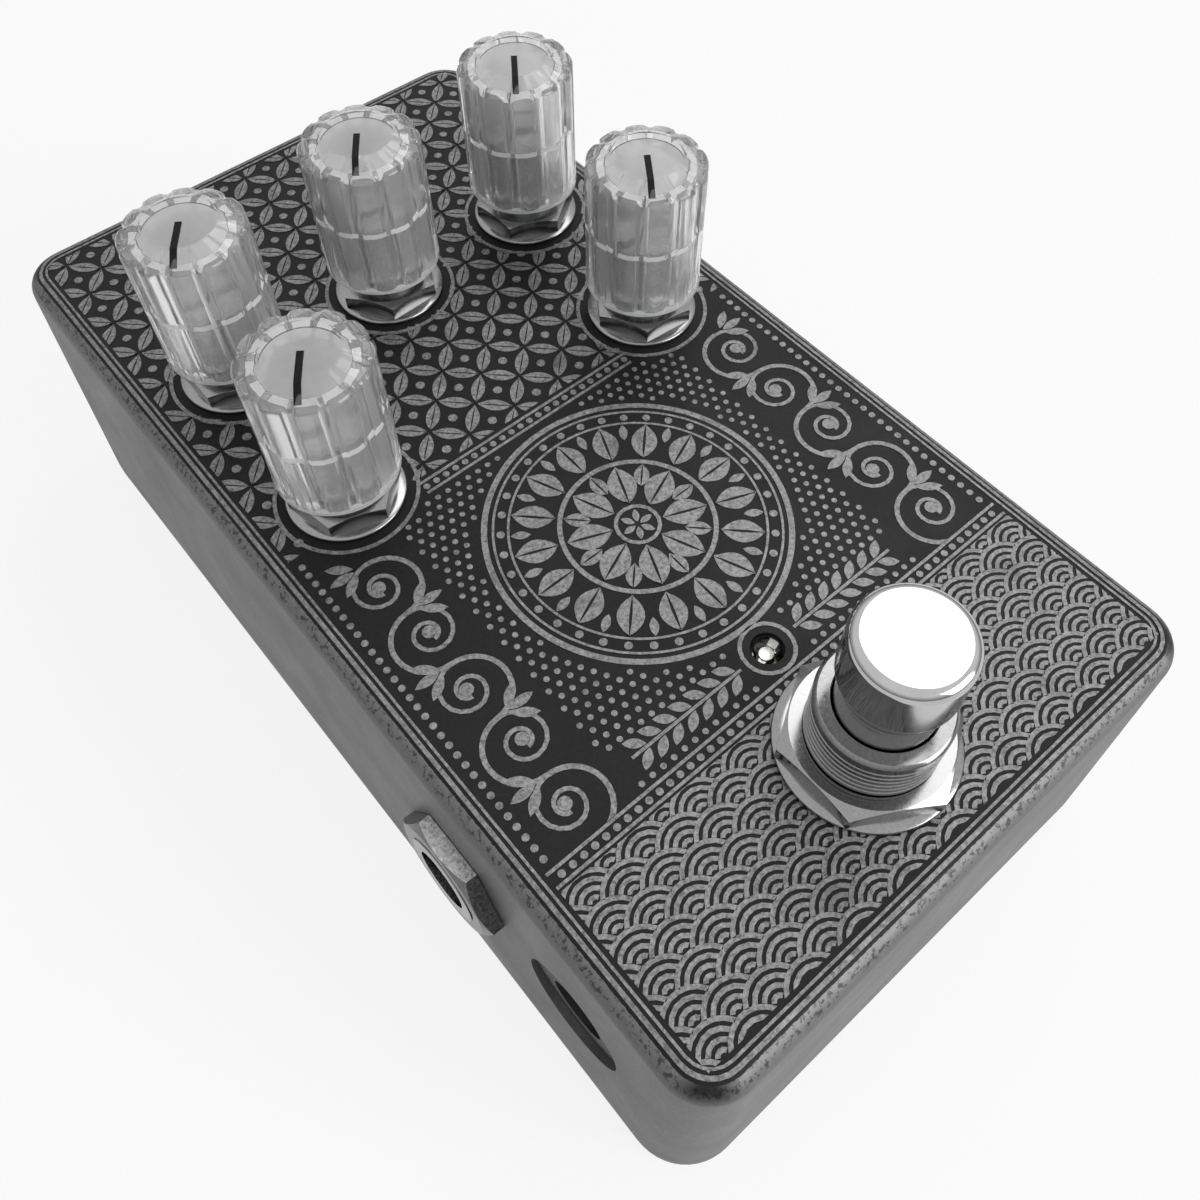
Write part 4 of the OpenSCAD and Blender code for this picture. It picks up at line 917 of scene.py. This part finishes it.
# The jack nuts are steel that has dulled and darkened, finely pitted; the flats that face up are painted
# lighter, a painted highlight.
dull_steel, tree, shader, position = new_material("dulled_steel")
pit_size = 0.35 * MM
pits = add(tree, "TexNoise", {}, {
    "Vector": position, "Scale": 1 / pit_size, "Detail": 3, "Roughness": 0.7})
spread = add(tree, "MapRange", {}, {0: pits.outputs["Fac"], 1: 0.3, 2: 0.7, 3: 0, 4: 1})
# Painted highlight: faces that point up are mixed towards a pale grey.
geometry = add(tree, "NewGeometry", {}, {})
upward = add(tree, "SeparateXYZ", {}, {0: geometry.outputs["Normal"]})
upward_highlight = add(tree, "MapRange", {}, {0: upward.outputs[2], 1: 0.6, 2: 0.85, 3: 0, 4: 1})
dulled = add(tree, "Mix", in_colour, {0: spread.outputs[0], 6: linear("#565656"), 7: linear("#7c7c7c")})
highlight_tone = add(tree, "Mix", in_colour, {0: spread.outputs[0], 6: linear("#8a8a8a"), 7: linear("#e2e2e2")})
tone = add(tree, "Mix", in_colour, {0: upward_highlight.outputs[0], 6: dulled.outputs[2], 7: highlight_tone.outputs[2]})
rough = add(tree, "MapRange", {}, {0: spread.outputs[0], 1: 0, 2: 1, 3: 0.24, 4: 0.42})
feed(tree, shader, {"Base Color": tone.outputs[2], "Roughness": rough.outputs[0], "Metallic": 1})
dress(["jack_nuts"], dull_steel)
dress(["jack_washers"], nickel)

# Power socket.
# A moulded black barrel just inside its hole in the left wall, with a turned centre pin and three legs.
# The legs are soldered to the switch board.
dress(["power_socket"], moulded_black)
dress(["power_socket_pin", "power_socket_lugs"], tinned_copper)

# Wires.
# Stranded hook-up wire in coloured vinyl joins the jacks and the two boards, soldered at its ends.
# Extruded vinyl is smooth, evenly coloured and softly glossy.
vinyl_red = finish("extruded_red_vinyl", "#8e1c18", "#a82a22", 1 * MM, 0.3, 0.45, 0)
vinyl_yellow = finish("extruded_yellow_vinyl", "#b79a35", "#cdb350", 1 * MM, 0.3, 0.45, 0)
dress(["jack_wires"], vinyl_red)
dress(["link_wires"], vinyl_yellow)

# Bottom cover and screws.
# A cast plate closes the case from below and has a small radius round its lower edge.
# Four countersunk cross-head screws hold it to the posts in the corners.
cover_edge = 1.2 * MM
screw_hole_r = 1.6 * MM
screw_drill = 8 * MM
sink_low_r = 3.82 * MM
sink_high_r = 1.52 * MM
sink_h = 2.3 * MM
sink_z = 0.55 * MM
cover = make_piece(
    cast_block(0, cover_t, 0, 0, cover_edge, 5), "bottom_plate", "case", cast_metal)
sinks = bmesh.new()
for x, y in post_places:
    drill(sinks, (x, y, 0), up, screw_hole_r, screw_hole_r, screw_drill)
    drill(sinks, (x, y, sink_z), up, sink_low_r, sink_high_r, sink_h)
cut_holes(cover, sinks)
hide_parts("bottom_cover")
dress(["cover_screws"], nickel)

# Knobs.
# Clear acrylic mouldings with twelve flutes, hollow below round the boss that grips the shaft.
# Each has a pointer, a moulded groove filled with black paint, and is pushed on to its shaft last of all.
knob_r = 6.25 * MM
knob_z = 40.3 * MM
knob_h = 16.1 * MM
flute_r = 0.7 * MM
flute_hub = 6.5 * MM
flutes = 12
lobe_r = 3 * MM
disc_r = 3.6 * MM
slope = 0.8 * MM
rim_r = 0.7 * MM
knob_segments = 240
paint_stand = 0.02 * MM
paint_t = 0.25 * MM
pointer_l = 5.4 * MM
pointer_half_w = 0.325 * MM
pointer_turn = math.radians(144)
pointer_fall = slope * (pointer_l - disc_r) / (knob_r - rim_r - disc_r)


def from_lobe(angle):
    """Angle from the middle of the nearest lobe; the first lobe lies on the X axis."""
    step = 2 * math.pi / flutes
    return (angle + step / 2) % step - step / 2


def fluted(angle):
    """Radius of the wall at an angle: rounded lobes with flutes between."""
    across = from_lobe(angle)
    lobe_hub = knob_r - lobe_r
    lobe = lobe_hub * math.cos(across) + math.sqrt(lobe_r ** 2 - (lobe_hub * math.sin(across)) ** 2)
    off = math.pi / flutes - abs(across)
    inside = flute_r ** 2 - (flute_hub * math.sin(off)) ** 2
    if inside < 0:
        return lobe
    return min(lobe, flute_hub * math.cos(off) - math.sqrt(inside))


knob_top = knob_h - paint_stand
shoulder = knob_top - slope - rim_r
rim_turn = 68
rim_steps = 7
fluted_rings = []
for step in range(rim_steps + 1):
    angle = math.radians(rim_turn - step * rim_turn / rim_steps)
    fluted_rings.append((rim_r - rim_r * math.cos(angle), shoulder + rim_r * math.sin(angle)))
base_h = 0.6 * MM
base_ease = 0.2 * MM
fluted_rings.append((0, base_h + small_ease))
# Below the flutes the moulding runs on from ring to ring: the base, the hollow, the boss and the blind bore.
# Each step names a radius, a height and the finish of its wall on the lobes and between them.
clear, hazy, satin, frosted = range(4)
skirt_r = 5.1 * MM
skirt_z = 7.3 * MM
core_r = 4.7 * MM
core_low = 7.7 * MM
core_z = 14 * MM
boss_r = 3.9 * MM
bore_r = 3.02 * MM
bore_z = 7 * MM
bore_ease = 0.2 * MM
well_r = 3.3 * MM
well_low = 13.3 * MM
well_rim = 3.8 * MM
well_z = 13.9 * MM
land = math.radians(10.5)
round_rings = [
    (knob_r, base_h, clear, clear), (knob_r, base_ease, clear, clear), (knob_r - base_ease, 0, clear, clear),
    (skirt_r, 0, frosted, frosted), (skirt_r, skirt_z, hazy, clear), (core_r, core_low, frosted, clear),
    (core_r, core_z, hazy, clear), (boss_r, core_z, frosted, clear), (boss_r, 0, hazy, clear),
    (bore_r, 0, hazy, hazy), (bore_r, bore_z, hazy, hazy), (well_r, bore_z + bore_ease, hazy, hazy),
    (well_r, well_low, hazy, hazy), (well_rim, well_z, frosted, hazy)]

# Moulded acrylic is clear and glossy, with a milky trace of flow haze that holds the light.
acrylic, tree, shader, position = new_material("moulded_clear_acrylic")
flow_size = 4 * MM
flow = add(tree, "TexNoise", {}, {"Vector": position, "Scale": 1 / flow_size, "Detail": 3})
rough = add(tree, "MapRange", {}, {0: flow.outputs["Fac"], 1: 0.3, 2: 0.7, 3: 0.02, 4: 0.05})
acrylic_ior = 1.49
feed(tree, shader, {
    "Roughness": rough.outputs[0], "Base Color": linear("#fafafa"), "Transmission Weight": 0.92,
    "IOR": acrylic_ior})
# The hollow's walls are hazy from the mould's cores, its end is satin and its steps are frosted.
hazy_acrylic = finish("hazy_clear_acrylic", "#f2f2f2", "#fdfdfd", 2 * MM, 0.1, 0.13, 0)
satin_acrylic = finish("satin_clear_acrylic", "#f2f2f2", "#fdfdfd", 1.2 * MM, 0.36, 0.42, 0)
frosted_acrylic = finish("frosted_clear_acrylic", "#f2f2f2", "#fdfdfd", 0.6 * MM, 0.35, 0.5, 0)
for moulded, through in ((hazy_acrylic, 0.8), (satin_acrylic, 0.65), (frosted_acrylic, 0.2)):
    face = moulded.node_tree.nodes["Principled BSDF"]
    feed(moulded.node_tree, face, {"Transmission Weight": through, "IOR": acrylic_ior})
# Filling paint is black and satin, a little thin in places.
paint_black = finish("filled_black_paint", "#050505", "#141414", 0.4 * MM, 0.35, 0.55, 0)
paint_black.node_tree.nodes["Principled BSDF"].inputs["Specular IOR Level"].default_value = 0.15


def next_ring(shape, edges, radius_at, z, on_lobe, on_flute):
    """Draws the moulding's open edge on to its next ring, with one finish for lobes and one for flutes."""
    made = bmesh.ops.extrude_edge_only(shape, edges=edges)["geom"]
    fresh = [part for part in made if isinstance(part, bmesh.types.BMVert)]
    for v in fresh:
        angle = math.atan2(v.co.y, v.co.x)
        reach = radius_at(angle)
        v.co = (reach * math.cos(angle), reach * math.sin(angle), knob_z + z)
    for part in made:
        if isinstance(part, bmesh.types.BMFace):
            middle = part.calc_center_median()
            by_lobe = abs(from_lobe(math.atan2(middle.y, middle.x))) < land
            part.material_index = on_lobe if by_lobe else on_flute
    return [
        part for part in made
        if isinstance(part, bmesh.types.BMEdge) and all(v in fresh for v in part.verts)]


for name, (x, y) in knob_places.items():
    knob = bmesh.new()
    bmesh.ops.create_circle(
        knob, cap_ends=True, radius=disc_r, segments=knob_segments,
        matrix=Matrix.Translation((0, 0, knob_z + knob_top)))
    edges = list(knob.edges)
    for inset, z in fluted_rings:
        edges = next_ring(knob, edges, lambda angle: fluted(angle) - inset, z, clear, clear)
    for radius, z, on_lobe, on_flute in round_rings:
        edges = next_ring(knob, edges, lambda angle: radius, z, on_lobe, on_flute)
    bmesh.ops.edgeloop_fill(knob, edges=edges, mat_nr=satin)
    bmesh.ops.recalc_face_normals(knob, faces=knob.faces)
    bmesh.ops.translate(knob, vec=(x, y, 0), verts=knob.verts)
    knob_piece = make_piece(knob, "fluted_knob_" + name, "knob_" + name, acrylic)
    for moulded in (hazy_acrylic, satin_acrylic, frosted_acrylic):
        knob_piece.data.materials.append(moulded)
    soften(knob_piece, 20)
    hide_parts("knob_" + name)

    pointer = bmesh.new()
    bmesh.ops.create_grid(pointer, x_segments=2, y_segments=1, size=1)
    for v in pointer.verts:
        along, fall = {-1: (0, 0), 0: (disc_r, 0), 1: (pointer_l, pointer_fall)}[round(v.co.x)]
        v.co = (v.co.y * pointer_half_w, along, knob_z + knob_h - fall)
    bmesh.ops.recalc_face_normals(pointer, faces=pointer.faces)
    if next(iter(pointer.faces)).normal.z < 0:
        bmesh.ops.reverse_faces(pointer, faces=pointer.faces)
    bmesh.ops.solidify(pointer, geom=pointer.faces[:], thickness=paint_t)
    bmesh.ops.rotate(
        pointer, cent=(0, 0, 0), matrix=Matrix.Rotation(pointer_turn, 3, "Z"), verts=pointer.verts)
    bmesh.ops.translate(pointer, vec=(x, y, 0), verts=pointer.verts)
    make_piece(pointer, "pointer_" + name, "knob_" + name, paint_black)


# Stage.
# A plain floor of matt white paper under soft studio light, with the camera at the photograph's angle.
# The floor and the world show white to the camera, in gloss and through clear pieces.
def background_rays(tree):
    """The rays that show the background, and the glossy ones among them."""
    rays = add(tree, "LightPath", {}, {})
    glossy = rays.outputs["Is Glossy Ray"]
    seen = add(tree, "Math", {"operation": "MAXIMUM"}, {0: rays.outputs["Is Camera Ray"], 1: glossy})
    shown = add(tree, "Math", {"operation": "MAXIMUM"}, {
        0: seen.outputs[0], 1: rays.outputs["Is Transmission Ray"]})
    return shown.outputs[0], glossy


floor_shape = bmesh.new()
bmesh.ops.create_grid(floor_shape, x_segments=1, y_segments=1, size=3)
floor_mesh = bpy.data.meshes.new("floor")
floor_shape.to_mesh(floor_mesh)
floor_shape.free()
floor = new_object("floor", floor_mesh)
floor_paper, tree, shader, position = new_material("matt_white_paper")
feed(tree, shader, {"Base Color": linear("#f2f2f2"), "Roughness": 0.9})
shown, glossy = background_rays(tree)
share = add(tree, "Math", {"operation": "MULTIPLY"}, {0: shown, 1: 0.85})
pure_white = (1, 1, 1, 1)
white = add(tree, "Emission", {}, {"Color": pure_white, "Strength": 1})
paper = add(tree, "MixShader", {}, {0: share.outputs[0], 1: shader.outputs[0], 2: white.outputs[0]})
feed(tree, tree.nodes["Material Output"], {"Surface": paper.outputs[0]})
floor_mesh.materials.append(floor_paper)

camera_data = bpy.data.cameras.new("camera")
camera_data.sensor_width = 36
camera_data.lens = 33.87
camera_data.shift_x = -0.0048
camera_data.shift_y = -0.0535
camera_data.clip_start = 0.001
camera = new_object("camera", camera_data)
camera_place = Vector((-42.85, -60.96, 128.22)) * MM
camera_right = Vector((0.761, -0.6488, 0)).normalized()
camera_back = -Vector((0.3564, 0.4181, -0.8356)).normalized()
camera_up = camera_back.cross(camera_right)
camera_turn = Matrix((camera_right, camera_up, camera_back)).transposed().to_4x4()
camera.matrix_world = Matrix.Translation(camera_place) @ camera_turn
bpy.context.scene.camera = camera

world = bpy.data.worlds.new("studio")
world.use_nodes = True
bpy.context.scene.world = world
sky = world.node_tree
shown, glossy = background_rays(sky)
level = add(sky, "MapRange", {}, {0: shown, 1: 0, 2: 1, 3: 0.42, 4: 1})
toward = add(sky, "TexCoord", {}, {})
rise = add(sky, "SeparateXYZ", {}, {0: toward.outputs["Generated"]})
dusk = add(sky, "MapRange", {}, {0: rise.outputs[2], 1: 0.1, 2: 0.6, 3: 0.7, 4: 0})
dim = add(sky, "Math", {"operation": "MULTIPLY"}, {0: dusk.outputs[0], 1: glossy})
strength = add(sky, "Math", {"operation": "SUBTRACT"}, {0: level.outputs[0], 1: dim.outputs[0]})
feed(sky, sky.nodes["Background"], {"Color": pure_white, "Strength": strength.outputs[0]})

for name, place, size, power in (
        ("front_softbox", Vector((0.3, -0.65, 0.4)), 0.5, 4.2),
        ("back_softbox", Vector((0.398, 0.14, 0.679)), 0.35, 1)):
    softbox_data = bpy.data.lights.new(name, "AREA")
    softbox_data.shape = "SQUARE"
    softbox_data.size = size
    softbox_data.energy = power
    softbox = new_object(name, softbox_data)
    softbox.matrix_world = Matrix.Translation(place) @ place.to_track_quat("Z", "Y").to_matrix().to_4x4()
bpy.context.scene.view_settings.view_transform = "Standard"
